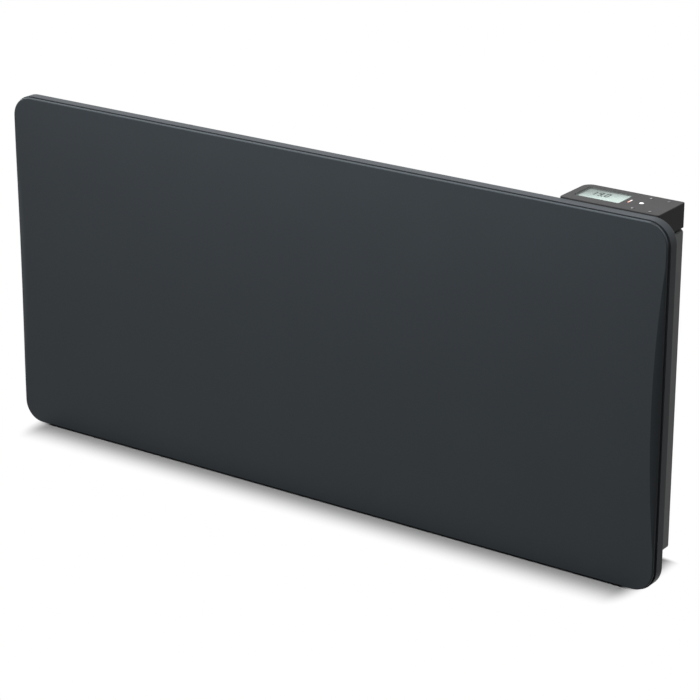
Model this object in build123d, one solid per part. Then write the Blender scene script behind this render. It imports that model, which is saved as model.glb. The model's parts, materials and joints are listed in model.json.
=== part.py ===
from build123d import *
import math
import os

# Slim wall-hung electric storage radiator. Lengths are in millimetres.
# X runs to the right, Y runs back to the wall and Z runs up.
# The origin lies on the wall, at the centre of the four bracket screws.

# Front panel
panel_width = 960.0
panel_height = 450.0
corner_radius = 29.0
panel_side_inset = 2.0
panel_top_inset = 1.0
panel_depth = 3.0
panel_sheet = 1.5
panel_edge_radius = 1.5
bevel_width = 11.5
bevel_drop = 2.2
bevel_half_length = 188.0

# Shadow gap and its gasket
shadow_gap = 2.0
gasket_inset = 2.5
gasket_width = 5.0

# Front frame
frame_depth = 14.75
frame_sheet = 1.5
frame_lip = 8.0
frame_edge_radius = 2.0

# Rear casing
casing_side_inset = 25.0
casing_top_inset = 30.0
casing_bottom_inset = 25.0
casing_depth = 61.0
casing_sheet = 1.2
casing_flange = 12.0
casing_bend_radius = 0.4
casing_corner_radius = 4.0
wall_gap = 14.0

# Air slots in the casing
vent_width = 3.5
vent_length = 36.0
vent_pitch = 12.0
vent_margin = 24.0

# Screws: one size for the sheet metal and one for the control box
screw_radius = 2.0
screw_length = 9.0
screw_head_radius = 4.0
screw_head_height = 2.4
thread_gap = 0.05
screw_hole_gap = 0.2
small_screw_radius = 1.4
small_screw_head_radius = 2.7
small_screw_head_height = 1.6
small_screw_grip = 8.0

# Panel studs
stud_radius = 4.0
stud_inset = 13.0
stud_box_gap = 33.0
stud_hole_depth = 10.0
stud_pitch = 210.0

# Screws between frame and casing
frame_screw_pitch_x = 300.0
frame_screw_pitch_z = 140.0

# Core: two layers of bricks, four to a layer, with the element between them
brick_count = 4
core_side_gap = 61.8
core_top_gap = 30.0
core_bottom_gap = 35.0
brick_thickness = 14.0
brick_gap = 0.6
brick_chamfer = 1.0
seat_gap = 0.3
core_front_gap = 2.75
groove_gap = 0.3

# Heating element
element_radius = 4.0
element_pass_pitch = 80.0
element_side_gap = 14.3
bush_core_gap = 3.5
bush_radius = 7.0
bush_waist_radius = 5.5
bush_length = 18.6
terminal_radius = 2.5
terminal_length = 15.0
crimp_radius = 2.0
crimp_length = 12.0

# Core shelf and straps
shelf_sheet = 2.0
shelf_flange = 20.0
shelf_vent_width = 12.0
shelf_vent_length = 60.0
shelf_vent_pitch = 90.0
strap_width = 20.0
strap_sheet = 2.0
strap_foot = 16.0
strap_joint_offset = 3.4
strap_return = 20.0
shelf_screw_end_gap = 63.2

# Reflector tray and insulation board
reflector_sheet = 0.8
insulation_thickness = 25.0

# Thermal cut-out and core sensor, on a bracket on top of the core
cutout_from_box = 27.0
cutout_radius = 8.0
cutout_height = 9.0
cutout_chamfer = 1.0
cutout_tab_length = 6.0
cutout_tab_width = 4.0
cutout_tab_spacing = 9.6
cutout_tab_sheet = 1.0
cutout_bracket_sheet = 1.2
cutout_bracket_margin = 6.0
sensor_pitch = 22.0
sensor_radius = 2.5
sensor_length = 16.0
sensor_lug_length = 12.0
sensor_lug_width = 7.0

# Control box
box_width = 128.0
box_back_inset = 1.0
box_wall = 2.0
box_gap = 2.0
box_rise = 1.5
box_fit = 0.3
box_corner_radius = 12.0
box_small_radius = 2.5
box_edge_radius = 1.0
base_inset = 3.0
base_thickness = 4.0
boss_radius = 3.2
boss_left_inset = 8.0
boss_right_inset = 7.0
boss_front_inset = 8.0
boss_back_inset = 10.0
post_radius = 2.0
board_thickness = 1.6
board_left_gap = 11.5
board_right_gap = 12.0
display_board_drop = 10.0
power_board_block_gap = 6.0
power_board_front_gap = 5.0
power_board_back_gap = 11.0
power_board_rise = 2.0
part_fill = 0.85
part_margin = 5.0
relay_length = 19.0
relay_width = 15.0
converter_length = 30.0
converter_width = 22.0
capacitor_length = 22.0

# Display
window_key_gap = 22.0
window_depth = 37.0
window_back_inset = 10.0
window_thickness = 1.5
window_corner_radius = 2.0
window_ledge = 2.0
window_fit = 0.15
window_from_left = 10.0
module_bezel = 0.5
module_bezel_height = 0.6

# Keys, in two columns and three rows
key_radius = 2.7
key_gap = 0.1
key_proud = 0.3
key_flange = 0.7
key_flange_height = 1.4
key_flange_gap = 0.2
key_stem_radius = 1.6
key_travel = 0.4
key_spare = 0.05
key_column_pitch = 22.5
key_front_inset = 7.0
key_back_inset = 10.7
key_last_column = 15.5
tact_size = 6.0
tact_height = 3.4
tact_plunger_radius = 1.7

# Status light: a slender bar that runs from front to back
light_x_offset = 7.0
light_width = 2.2
light_depth = 11.0
light_gap = 0.1

# Rocker switch, in the left wall of the control box
switch_width = 19.0
switch_height = 12.8
switch_flange = 1.2
switch_flange_thickness = 1.6
switch_depth = 8.5
switch_wall = 1.0
switch_fit = 0.1
switch_flange_round = 0.6
rocker_gap = 0.3
rocker_half_angle = 9.0
rocker_reach = 2.2
rocker_valley = 1.0
rocker_shoulder = 0.4
rocker_root = 4.0
trunnion_radius = 1.2
trunnion_gap = 0.05
trunnion_length = 0.7

# Terminal block and its wires
block_width = 22.0
block_length = 39.0
block_height = 10.5
block_right_gap = 12.0
pole_pitch = 7.5
pole_hole_radius = 2.0
pole_hole_depth = 4.2
wire_hole_width = 9.0
wire_hole_length = 45.0

# Internal leads
lead_radius = 1.6
sensor_lead_radius = 1.0
earth_block = 8.0
earth_from_top = 59.0

# Cable gland
gland_from_side = 50.0
gland_from_back = 20.0
cord_hole_radius = 3.75
gland_thread_radius = 8.0
gland_dome_radius = 10.0
gland_dome_height = 9.0
gland_dome_round = 3.0
gland_inner_length = 9.0
gland_nut_width = 22.0
gland_nut_height = 5.0
gland_hole_gap = 0.1

# Wall bracket: two rails and a crossbar
rail_side_gap = 195.0
rail_width = 30.0
rail_sheet = 2.0
rail_top_gap = 10.0
rail_bottom_gap = 12.0
rail_flange_gap = 0.3
crossbar_height = 24.0
crossbar_chamfer = 3.0
rivet_radius = 2.4
rivet_head_radius = 4.2
rivet_head_height = 1.2
rivet_inset = 7.0
wall_screw_pitch_z = 240.0
wall_slot_length = 12.0
wall_slot_radius = 3.25

# Hooks of the bracket, in slots of the casing's back
hook_width = 18.0
hook_top_gap = 19.0
hook_bottom_gap = 50.0
hook_lip = 8.0
hook_lip_gap = 0.8
hook_side_gap = 1.5
hook_lift_gap = 1.5

# Quarter-turn latches on top of the rails
latch_shaft_radius = 2.5
latch_gap = 0.08
latch_end_gap = 0.05
latch_disc_radius = 6.0
latch_nose_length = 20.0
latch_nose_width = 8.0
latch_nose_height = 3.0
latch_lift = 0.4
latch_clip_radius = 4.0
latch_clip_height = 3.0
latch_slot_width = 1.2
latch_slot_depth = 1.5
latch_from_wall = 7.5
tab_gap = 0.8

# Rubber buffers behind the casing
buffer_radius = 7.0
buffer_side_gap = 75.0
buffer_bottom_gap = 28.0
buffer_round = 1.5

# Places that follow from the sizes
half_width = panel_width / 2
half_height = panel_height / 2
casing_back = -wall_gap
casing_front = casing_back - casing_depth
frame_back = casing_front
frame_front = frame_back - frame_depth
panel_back = frame_front - shadow_gap
panel_front = panel_back - panel_depth
panel_inside = panel_front + panel_sheet
casing_half_width = half_width - casing_side_inset
casing_top = half_height - casing_top_inset
casing_bottom = -half_height + casing_bottom_inset
opening_half_width = casing_half_width - casing_flange
opening_top = casing_top - casing_flange
opening_bottom = casing_bottom + casing_flange
wall_inside = casing_back - casing_sheet

strap_front = panel_inside + core_front_gap
front_brick_face = strap_front + strap_sheet + seat_gap
brick_split = front_brick_face + brick_thickness + seat_gap / 2
rear_brick_face = brick_split + seat_gap / 2
core_back = rear_brick_face + brick_thickness
reflector_face = core_back + seat_gap
core_half_width = casing_half_width - core_side_gap
core_top = casing_top - core_top_gap
core_bottom = casing_bottom + core_bottom_gap
core_middle = (core_top + core_bottom) / 2
brick_pitch = 2 * core_half_width / brick_count
shelf_top = core_bottom - seat_gap
shelf_bottom = shelf_top - shelf_sheet
strap_top = core_top + seat_gap + strap_sheet
strap_pitch = brick_pitch + strap_joint_offset
shelf_screw_pitch = (core_half_width - shelf_screw_end_gap) / 3
element_bend_x = casing_half_width - element_side_gap - element_radius - element_pass_pitch / 2
element_end_x = core_half_width + bush_core_gap
pass_heights = [core_middle + element_pass_pitch * (1.5 - index) for index in range(4)]
terminal_x = element_end_x + bush_length + terminal_length - terminal_radius

box_right = casing_half_width
box_left = box_right - box_width
box_front = frame_back + box_fit
box_back = casing_back + box_back_inset
box_top = half_height + box_rise
box_bottom = casing_top + box_gap
box_ceiling = box_top - box_wall
base_top = casing_top + base_thickness
display_board_top = box_ceiling - display_board_drop + board_thickness
key_row_pitch = (box_back - key_back_inset - box_front - key_front_inset) / 2
display_y = box_front + key_front_inset + key_row_pitch
key_columns = [box_right - key_last_column - key_column_pitch, box_right - key_last_column]
key_rows = [display_y - key_row_pitch, display_y, display_y + key_row_pitch]
window_left = box_left + window_from_left
window_width = key_columns[0] - window_key_gap - window_left
window_x = window_left + window_width / 2
window_y = box_back - window_back_inset - window_depth / 2
light_x = window_x + window_width / 2 + light_x_offset
key_bottom = box_ceiling - key_flange_gap - key_flange_height
key_end = key_bottom - key_flange_height
tact_top = display_board_top + tact_height
switch_y = (box_front + box_back) / 2
switch_z = (box_bottom + box_top) / 2
block_x = box_right - block_right_gap - block_width / 2
poles = [display_y + pole_pitch * (index - 2) for index in range(5)]
cutout_x = box_left - cutout_from_box
earth_z = casing_top - earth_from_top
gland_x = casing_half_width - gland_from_side
gland_y = casing_back - gland_from_back
rail_x = casing_half_width - rail_side_gap
rail_low = casing_bottom + rail_bottom_gap
rail_high = casing_top - rail_top_gap
hook_z = (casing_top - hook_top_gap, casing_bottom + hook_bottom_gap)


def block(x, y, z):
    """Box between two limits on each axis."""
    size = (x[1] - x[0], y[1] - y[0], z[1] - z[0])
    centre = Pos((x[0] + x[1]) / 2, (y[0] + y[1]) / 2, (z[0] + z[1]) / 2)
    return centre * Box(*size)


def rod(radius, start, end):
    """Round bar from one point to another."""
    run = Vector(*end) - Vector(*start)
    place = Plane(origin=start, z_dir=run)
    return place * Cylinder(radius, run.length, align=(Align.CENTER, Align.CENTER, Align.MIN))


def around(centre, half):
    """Limits at equal distances on both sides of a centre."""
    return centre - half, centre + half


def rod_x(radius, y, z, start, end):
    return rod(radius, (start, y, z), (end, y, z))


def rod_y(radius, x, z, start, end):
    return rod(radius, (x, start, z), (x, end, z))


def rod_z(radius, x, y, start, end):
    return rod(radius, (x, y, start), (x, y, end))


def rounded_slab(width, height, radius, y_low, y_high):
    """Rounded rectangle in the panel's plane, from y_low back to y_high."""
    outline = Plane.XZ.offset(-y_high) * RectangleRounded(width, height, radius)
    return extrude(outline, y_high - y_low)


def group(pieces):
    """Separate solids that share one node."""
    return Compound([solid for piece in pieces for solid in piece.solids()])


def pan_screw(tip, direction, length, radius, head_radius, head_height):
    """Pan-head screw with a cross recess; tip is under the head, direction points along the shank."""
    shank = Cylinder(radius, length, align=(Align.CENTER, Align.CENTER, Align.MIN))
    head = Pos(0, 0, -head_height) * Cylinder(
        head_radius, head_height, align=(Align.CENTER, Align.CENTER, Align.MIN)
    )
    head = fillet(head.edges().sort_by(Axis.Z)[0], head_height * 0.4)
    recess_depth = head_height * 0.6
    bar = Box(head_radius, head_radius * 0.24, recess_depth)
    recess = Pos(0, 0, -head_height + recess_depth / 2) * (bar + Rot(0, 0, 90) * bar)
    return Plane(origin=tip, z_dir=direction) * (head + shank - recess)


def sheet_screw(tip, direction):
    return pan_screw(tip, direction, screw_length, screw_radius, screw_head_radius, screw_head_height)


def bevel_cutter(side, extra):
    """Very large cylinder whose rim leaves the lens-shaped bevel on one side of the panel."""
    slope = math.atan2(bevel_drop, bevel_width)
    sagitta = bevel_width * math.sin(slope)
    radius = (bevel_half_length**2 + sagitta**2) / (2 * sagitta)
    along = Vector(side * math.cos(slope), math.sin(slope), 0)
    outward = Vector(side * math.sin(slope), -math.cos(slope), 0)
    edge = Vector(side * (half_width - panel_side_inset), panel_front, 0)
    length = 4 * bevel_width
    start = edge + outward * (radius - sagitta) - along * (length / 2)
    return rod(radius + extra, tuple(start), tuple(start + along * length))


def front_panel():
    width = panel_width - 2 * panel_side_inset
    height = panel_height - 2 * panel_top_inset
    radius = corner_radius - panel_side_inset
    outer = rounded_slab(width, height, radius, panel_front, panel_back)
    outer = fillet(outer.faces().sort_by(Axis.Y)[0].edges(), panel_edge_radius)
    inner = rounded_slab(
        width - 2 * panel_sheet, height - 2 * panel_sheet, radius - panel_sheet, panel_inside, panel_back
    )
    for side in (-1, 1):
        outer -= bevel_cutter(side, 0)
        inner -= bevel_cutter(side, panel_sheet)
    return outer - inner


def ring(inset, width, y_low, y_high):
    """Rounded ring that follows the outline of the frame."""
    outer = rounded_slab(
        panel_width - 2 * inset, panel_height - 2 * inset, corner_radius - inset, y_low, y_high
    )
    inner_inset = inset + width
    inner = rounded_slab(
        panel_width - 2 * inner_inset,
        panel_height - 2 * inner_inset,
        corner_radius - inner_inset,
        y_low,
        y_high,
    )
    return outer - inner


def panel_gasket():
    return ring(gasket_inset, gasket_width, panel_back + seat_gap, frame_front)


def stud_points():
    """Places of the panel studs, in X and Z. The top row keeps clear of the control box."""
    z = half_height - stud_inset
    top = [(box_left - stud_box_gap - stud_pitch * index, z) for index in range(4)]
    bottom = [(stud_pitch * (index - 1.5), -z) for index in range(4)]
    return top + bottom


def frame_screw_points():
    """Places of the screws that join frame and casing, in X and Z, along the casing's flange."""
    middle = (casing_flange + casing_sheet) / 2
    x_side = casing_half_width - middle
    z_middle = (casing_top + casing_bottom) / 2
    points = []
    for index in (-1, 0, 1):
        z = z_middle + frame_screw_pitch_z * index
        x = frame_screw_pitch_x * index
        points += [(-x_side, z), (x_side, z), (x, casing_top - middle), (x, casing_bottom + middle)]
    return points


def casing_opening(y_low, y_high):
    return block(around(0, opening_half_width), (y_low, y_high), (opening_bottom, opening_top))


def front_frame():
    outer = rounded_slab(panel_width, panel_height, corner_radius, frame_front, frame_back)
    outer = fillet(outer.faces().sort_by(Axis.Y)[-1].edges(), frame_edge_radius)
    inner = rounded_slab(
        panel_width - 2 * frame_sheet,
        panel_height - 2 * frame_sheet,
        corner_radius - frame_sheet,
        frame_front + frame_sheet,
        frame_back - frame_sheet,
    )
    mouth = rounded_slab(
        panel_width - 2 * frame_lip,
        panel_height - 2 * frame_lip,
        corner_radius - frame_lip,
        frame_front,
        frame_front + frame_sheet,
    )
    frame = outer - inner - mouth - casing_opening(frame_back - frame_sheet, frame_back)
    holes = [
        rod_y(screw_radius + screw_hole_gap, x, z, frame_back - frame_sheet, frame_back)
        for x, z in stud_points() + frame_screw_points()
    ]
    return frame - holes


def panel_studs():
    stud_back = frame_back - frame_sheet
    studs = []
    for x, z in stud_points():
        stud = rod_y(stud_radius, x, z, panel_inside, stud_back)
        thread = rod_y(screw_radius + thread_gap, x, z, stud_back - stud_hole_depth, stud_back)
        studs.append(stud - thread)
    return group(studs)


def panel_screws():
    return group([sheet_screw((x, frame_back, z), (0, -1, 0)) for x, z in stud_points()])


def frame_screws():
    y = frame_back - frame_sheet
    return group([sheet_screw((x, y, z), (0, 1, 0)) for x, z in frame_screw_points()])


def vent_row(x_low, x_high, z_low, z_high):
    """Row of round-ended air slots across the depth of the casing."""
    count = int((x_high - x_low) / vent_pitch) + 1
    first = (x_low + x_high - (count - 1) * vent_pitch) / 2
    y = (casing_front + casing_back) / 2
    slots = [
        Pos(first + index * vent_pitch, y) * SlotOverall(vent_length, vent_width, rotation=90)
        for index in range(count)
    ]
    return extrude(Plane.XY.offset(z_low) * (Sketch() + slots), z_high - z_low)


def casing_screw_points():
    """Places of the screws in the casing's back, in X and Z, for straps, cut-out bracket and shelf."""
    feet = [(x, strap_top + strap_foot / 2) for x in (-strap_pitch, 0, strap_pitch, cutout_x)]
    shelf_z = shelf_bottom - (shelf_flange - shelf_sheet) / 2
    shelf = [(shelf_screw_pitch * index, shelf_z) for index in (-3, -1, 1, 3)]
    return feet + shelf


def hook_points():
    return [(side * rail_x, z) for side in (-1, 1) for z in hook_z]


def wire_hole(z_low, z_high):
    outline = Pos(block_x, display_y) * SlotOverall(wire_hole_length, wire_hole_width, rotation=90)
    return extrude(Plane.XY.offset(z_low) * outline, z_high - z_low)


def rear_casing():
    x = (-casing_half_width, casing_half_width)
    outer = block(x, (casing_front, casing_back), (casing_bottom, casing_top))
    outer = fillet(outer.edges().filter_by(Axis.Y), casing_corner_radius)
    outer = fillet(outer.faces().sort_by(Axis.Y)[-1].edges(), casing_bend_radius + casing_sheet)
    inner = block(
        (x[0] + casing_sheet, x[1] - casing_sheet),
        (casing_front + casing_sheet, wall_inside),
        (casing_bottom + casing_sheet, casing_top - casing_sheet),
    )
    inner = fillet(inner.edges().filter_by(Axis.Y), casing_corner_radius - casing_sheet)
    inner = fillet(inner.faces().sort_by(Axis.Y)[-1].edges(), casing_bend_radius)
    casing = outer - inner - casing_opening(casing_front, casing_front + casing_sheet)
    vent_end = casing_half_width - vent_margin
    casing -= vent_row(-vent_end, box_left - vent_margin, casing_top - casing_sheet, casing_top)
    casing -= vent_row(-vent_end, gland_x - vent_margin, casing_bottom, casing_bottom + casing_sheet)
    casing -= wire_hole(casing_top - casing_sheet, casing_top)
    half_slot = hook_width / 2 + hook_side_gap
    for hook_x, z in hook_points():
        low = z - rail_sheet - hook_lip - hook_lift_gap
        casing -= block(around(hook_x, half_slot), (wall_inside, casing_back), (low, z))
    flange_back = casing_front + casing_sheet
    for screw_x, z in frame_screw_points():
        casing -= rod_y(screw_radius + thread_gap, screw_x, z, casing_front, flange_back)
    for screw_x, z in casing_screw_points():
        casing -= rod_y(screw_radius + screw_hole_gap, screw_x, z, wall_inside, casing_back)
    for screw_x, y in boss_points():
        lid = casing_top - casing_sheet
        casing -= rod_z(small_screw_radius + screw_hole_gap, screw_x, y, lid, casing_top)
    gland_radius = gland_thread_radius + gland_hole_gap
    gland_hole = rod_z(gland_radius, gland_x, gland_y, casing_bottom, casing_bottom + casing_sheet)
    return casing - gland_hole + earth_stud()


def casing_screws():
    return group([sheet_screw((x, casing_back, z), (0, -1, 0)) for x, z in casing_screw_points()])


def core_brick(index, y_low):
    """One brick, with half a groove for each pass of the element in the face at brick_split."""
    centre = (index - (brick_count - 1) / 2) * brick_pitch
    x = around(centre, (brick_pitch - brick_gap) / 2)
    z = (core_bottom, core_top)
    brick = block(x, (y_low, y_low + brick_thickness), z)
    brick = chamfer(brick.edges().filter_by(Axis.Z), brick_chamfer)
    for z_pass in pass_heights:
        brick -= rod_x(element_radius + groove_gap, brick_split, z_pass, x[0], x[1])
    return brick


def heating_element():
    """Sheathed tube in four level passes, with half-round bends beyond the bricks."""
    path = []
    side = -1
    start_x = element_end_x
    for z, z_next in zip(pass_heights, pass_heights[1:]):
        turn_x = side * element_bend_x
        far_x = turn_x + side * element_pass_pitch / 2
        turn = (turn_x, brick_split, z)
        far = (far_x, brick_split, (z + z_next) / 2)
        path.append(Line((start_x, brick_split, z), turn))
        path.append(ThreePointArc(turn, far, (turn_x, brick_split, z_next)))
        start_x = turn_x
        side = -side
    z = pass_heights[-1]
    path.append(Line((start_x, brick_split, z), (element_end_x, brick_split, z)))
    route = Wire(path)
    section = Plane(origin=route @ 0, z_dir=route % 0) * Circle(element_radius)
    tube = sweep(section, path=route)
    length = route.length
    expected = math.pi * element_radius**2 * length
    print("element length", round(length), "volume ratio", round(tube.volume / expected, 4))
    return tube


def terminal_heights():
    return (pass_heights[0], pass_heights[3])


def element_bushes():
    """Ceramic bushes with a waist, on the two ends of the element."""
    bushes = []
    third = bush_length / 3
    steps = [element_end_x + index * third for index in range(4)]
    for z in terminal_heights():
        inner, waist, outer = [
            rod_x(radius, brick_split, z, steps[index], steps[index + 1])
            for index, radius in enumerate((bush_radius, bush_waist_radius, bush_radius))
        ]
        bushes.append(inner + waist + outer)
    return group(bushes)


def element_terminals():
    terminals = []
    for z in terminal_heights():
        start = element_end_x + bush_length
        stud = rod_x(terminal_radius, brick_split, z, start, start + terminal_length)
        crimp = rod_y(crimp_radius, terminal_x, z, brick_split, brick_split + crimp_length)
        terminals.append(stud + crimp)
    return group(terminals)


def core_shelf():
    x = (-core_half_width, core_half_width)
    shelf = block(x, (front_brick_face, wall_inside), (shelf_bottom, shelf_top))
    shelf += block(x, (wall_inside - shelf_sheet, wall_inside), (shelf_top - shelf_flange, shelf_top))
    count = int((x[1] - x[0] - shelf_vent_length) / shelf_vent_pitch)
    first = -(count - 1) * shelf_vent_pitch / 2
    vent_y = wall_inside - shelf_sheet - shelf_vent_width
    slots = [
        Pos(first + index * shelf_vent_pitch, vent_y) * SlotOverall(shelf_vent_length, shelf_vent_width)
        for index in range(count)
    ]
    shelf -= extrude(Plane.XY.offset(shelf_bottom) * (Sketch() + slots), shelf_sheet)
    for screw_x, z in casing_screw_points():
        if z < 0:
            shelf -= rod_y(screw_radius + thread_gap, screw_x, z, wall_inside - shelf_sheet, wall_inside)
    return shelf


def core_strap(centre):
    """Strap in front of the bricks: its upper leg ends in a foot on the casing's back."""
    x = around(centre, strap_width / 2)
    low = shelf_bottom - seat_gap
    strap = block(x, (strap_front, strap_front + strap_sheet), (low - strap_sheet, strap_top))
    strap += block(x, (strap_front, wall_inside), (strap_top - strap_sheet, strap_top))
    strap += block(x, (wall_inside - strap_sheet, wall_inside), (strap_top, strap_top + strap_foot))
    strap += block(x, (strap_front, strap_front + strap_return), (low - strap_sheet, low))
    strap_edges = strap.edges().filter_by(Axis.X).group_by(Axis.Y)[0]
    strap = fillet(strap_edges, strap_sheet * 0.6)
    for screw_x, z in casing_screw_points():
        if z > 0 and abs(screw_x - centre) < strap_width / 2:
            strap -= rod_y(screw_radius + thread_gap, screw_x, z, wall_inside - strap_sheet, wall_inside)
    return strap


def reflector_tray():
    """Bright tray, open to the back, that holds the insulation board behind the core."""
    x = (-core_half_width, core_half_width)
    y = (reflector_face, reflector_face + reflector_sheet + insulation_thickness)
    z = (core_bottom, core_top)
    cavity = block(
        (x[0] + reflector_sheet, x[1] - reflector_sheet),
        (y[0] + reflector_sheet, y[1]),
        (z[0] + reflector_sheet, z[1] - reflector_sheet),
    )
    return block(x, y, z) - cavity


def insulation_board():
    inset = reflector_sheet + seat_gap
    face = reflector_face + reflector_sheet
    return block(
        (-core_half_width + inset, core_half_width - inset),
        (face, face + insulation_thickness),
        (core_bottom + inset, core_top - inset),
    )


def cutout_y():
    """Line through the middle of the core's top, along which cut-out and sensor lie."""
    return brick_split


def cutout_bracket():
    """Foot on the top of the core, with an arm back to a screw in the casing's back."""
    left = cutout_x - sensor_pitch - cutout_bracket_margin
    right = cutout_x + cutout_radius + cutout_bracket_margin
    foot_top = core_top + cutout_bracket_sheet
    half = strap_width / 2
    bracket = block((left, right), (front_brick_face, core_back), (core_top, foot_top))
    arm_x = around(cutout_x, half)
    bracket += block(arm_x, (core_back, wall_inside), (core_top, foot_top))
    flange_y = (wall_inside - cutout_bracket_sheet, wall_inside)
    bracket += block(arm_x, flange_y, (foot_top, strap_top + strap_foot))
    screw_z = strap_top + strap_foot / 2
    return bracket - rod_y(screw_radius + thread_gap, cutout_x, screw_z, flange_y[0], flange_y[1])


def cutout_tab_places():
    """Y of the two spade tabs, their middle height and the X of their ends."""
    ys = around(cutout_y(), cutout_tab_spacing / 2)
    z = core_top + cutout_bracket_sheet + cutout_height / 2
    return ys, z, cutout_x + cutout_radius + cutout_tab_length


def thermal_cutout():
    """Round bimetal switch with two spade tabs on its right."""
    low = core_top + cutout_bracket_sheet
    body = rod_z(cutout_radius, cutout_x, cutout_y(), low, low + cutout_height)
    body = chamfer(body.edges().filter_by(GeomType.CIRCLE).sort_by(Axis.Z)[-1], cutout_chamfer)
    ys, tab_z, reach = cutout_tab_places()
    half_width = cutout_tab_width / 2
    half_sheet = cutout_tab_sheet / 2
    for y in ys:
        body += block((cutout_x, reach), around(y, half_width), around(tab_z, half_sheet))
    return body


def sensor_place():
    """X, Y and Z of the back end of the sensor's tube."""
    z = core_top + cutout_bracket_sheet + sensor_radius + seat_gap
    return cutout_x - sensor_pitch, cutout_y() + sensor_length, z


def core_sensor():
    """Sensor tube with a flat lug at its front end."""
    x, back, z = sensor_place()
    tube = rod_y(sensor_radius, x, z, back - sensor_length, back)
    low = core_top + cutout_bracket_sheet
    front = back - sensor_length
    lug_y = (front - sensor_lug_length, front + sensor_radius)
    return tube + block(around(x, sensor_lug_width / 2), lug_y, (low, low + sensor_radius))


def box_outline(inset):
    """Outline of the control box, drawn in by an inset: the back left corner is the round one."""
    width = box_width - 2 * inset
    depth = box_back - box_front - 2 * inset
    outline = Rectangle(width, depth)
    corners = outline.vertices().sort_by(Axis.X)
    left_back = corners[:2].sort_by(Axis.Y)[-1]
    outline = fillet(left_back, box_corner_radius - inset)
    others = [
        corner
        for corner in outline.vertices()
        if abs(abs(corner.X) - width / 2) < 1e-6 and abs(abs(corner.Y) - depth / 2) < 1e-6
    ]
    outline = fillet(others, max(box_small_radius - inset, 0.3))
    return Pos((box_left + box_right) / 2, (box_front + box_back) / 2) * outline


def boss_points():
    """Places of the screws that hold casing, base and housing together, in X and Y."""
    left = box_left + boss_left_inset
    right = box_right - boss_right_inset
    half = key_row_pitch / 2
    return [
        (left, box_front + boss_front_inset),
        (left, box_back - boss_back_inset),
        (right, display_y - half),
        (right, display_y + half),
    ]


def key_points():
    """Name, X and Y of each key. The white select key is in the middle of the first column."""
    front, middle, back = key_rows
    return [
        ("key_up", key_columns[0], back),
        ("key_down", key_columns[0], front),
        ("key_select", key_columns[0], middle),
        ("key_power", key_columns[1], back),
        ("key_mode", key_columns[1], front),
    ]


def post_points():
    """Places of the posts over the display board: in front of the display, beside it and by the keys."""
    left = box_left + board_left_gap + 2 * post_radius
    right = (key_columns[0] + key_columns[1]) / 2
    half = key_row_pitch / 2
    return [
        (left, display_y - key_row_pitch),
        (light_x, display_y + key_row_pitch),
        (right, display_y - half),
        (right, display_y + half),
    ]


def control_housing():
    housing = extrude(Plane.XY.offset(box_bottom) * box_outline(0), box_top - box_bottom)
    housing = fillet(housing.faces().sort_by(Axis.Z)[-1].edges(), box_edge_radius)
    housing -= extrude(Plane.XY.offset(box_bottom) * box_outline(box_wall), box_ceiling - box_bottom)
    for x, y in boss_points():
        boss = rod_z(boss_radius, x, y, base_top, box_ceiling)
        pilot = rod_z(small_screw_radius + thread_gap, x, y, base_top, box_ceiling)
        housing += boss - pilot
    for x, y in post_points():
        housing += rod_z(post_radius, x, y, display_board_top, box_ceiling)
    through = RectangleRounded(
        window_width - 2 * window_ledge, window_depth - 2 * window_ledge, window_corner_radius
    )
    recess = RectangleRounded(
        window_width + 2 * window_fit, window_depth + 2 * window_fit, window_corner_radius + window_fit
    )
    housing -= extrude(Plane.XY.offset(box_ceiling) * (Pos(window_x, window_y) * through), box_wall)
    seat = box_top - window_thickness
    housing -= extrude(Plane.XY.offset(seat) * (Pos(window_x, window_y) * recess), window_thickness)
    for _, x, y in key_points():
        housing -= rod_z(key_radius + key_gap, x, y, box_ceiling, box_top)
    half_light = light_width / 2
    housing -= block(
        around(light_x, half_light),
        around(display_y, light_depth / 2),
        (box_ceiling, box_top),
    )
    housing -= block(
        (box_left, box_left + box_wall),
        around(switch_y, switch_width / 2),
        around(switch_z, switch_height / 2),
    )
    return housing


def control_base():
    base = extrude(Plane.XY.offset(casing_top) * box_outline(base_inset), base_thickness)
    base -= wire_hole(casing_top, base_top)
    for x, y in boss_points():
        base -= rod_z(small_screw_radius + screw_hole_gap, x, y, casing_top, base_top)
    for x, y in power_board_corners():
        base += rod_z(post_radius, x, y, base_top, base_top + power_board_rise)
    return base


def control_screws():
    """Screws from inside the casing, up through its top and the base into the housing."""
    seat = casing_top - casing_sheet
    length = base_top - seat + small_screw_grip
    head = (small_screw_head_radius, small_screw_head_height)
    points = [(x, y, seat) for x, y in boss_points()]
    return group([pan_screw(point, (0, 0, 1), length, small_screw_radius, *head) for point in points])


def display_window():
    outline = RectangleRounded(window_width, window_depth, window_corner_radius)
    seat = box_top - window_thickness
    return extrude(Plane.XY.offset(seat) * (Pos(window_x, window_y) * outline), window_thickness)


def display_module():
    """Display glass in its holder, on the display board and close under the window."""
    half_x = window_width / 2 - window_ledge
    half_y = window_depth / 2
    top = box_ceiling - seat_gap
    body = block(around(window_x, half_x), around(window_y, half_y), (display_board_top, top))
    view_x = half_x - module_bezel
    view_y = half_y - module_bezel
    view = block(around(window_x, view_x), around(window_y, view_y), (top - module_bezel_height, top))
    return body - view


def display_board():
    half = key_row_pitch + tact_size / 2
    return block(
        (box_left + board_left_gap, box_right - board_right_gap),
        around(display_y, half),
        (display_board_top - board_thickness, display_board_top),
    )


def tact_switches():
    switches = []
    half = tact_size / 2
    plunger_top = key_end - key_travel - key_spare
    for _, x, y in key_points():
        body = block(around(x, half), around(y, half), (display_board_top, tact_top))
        switches.append(body + rod_z(tact_plunger_radius, x, y, tact_top, plunger_top))
    return group(switches)


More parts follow.
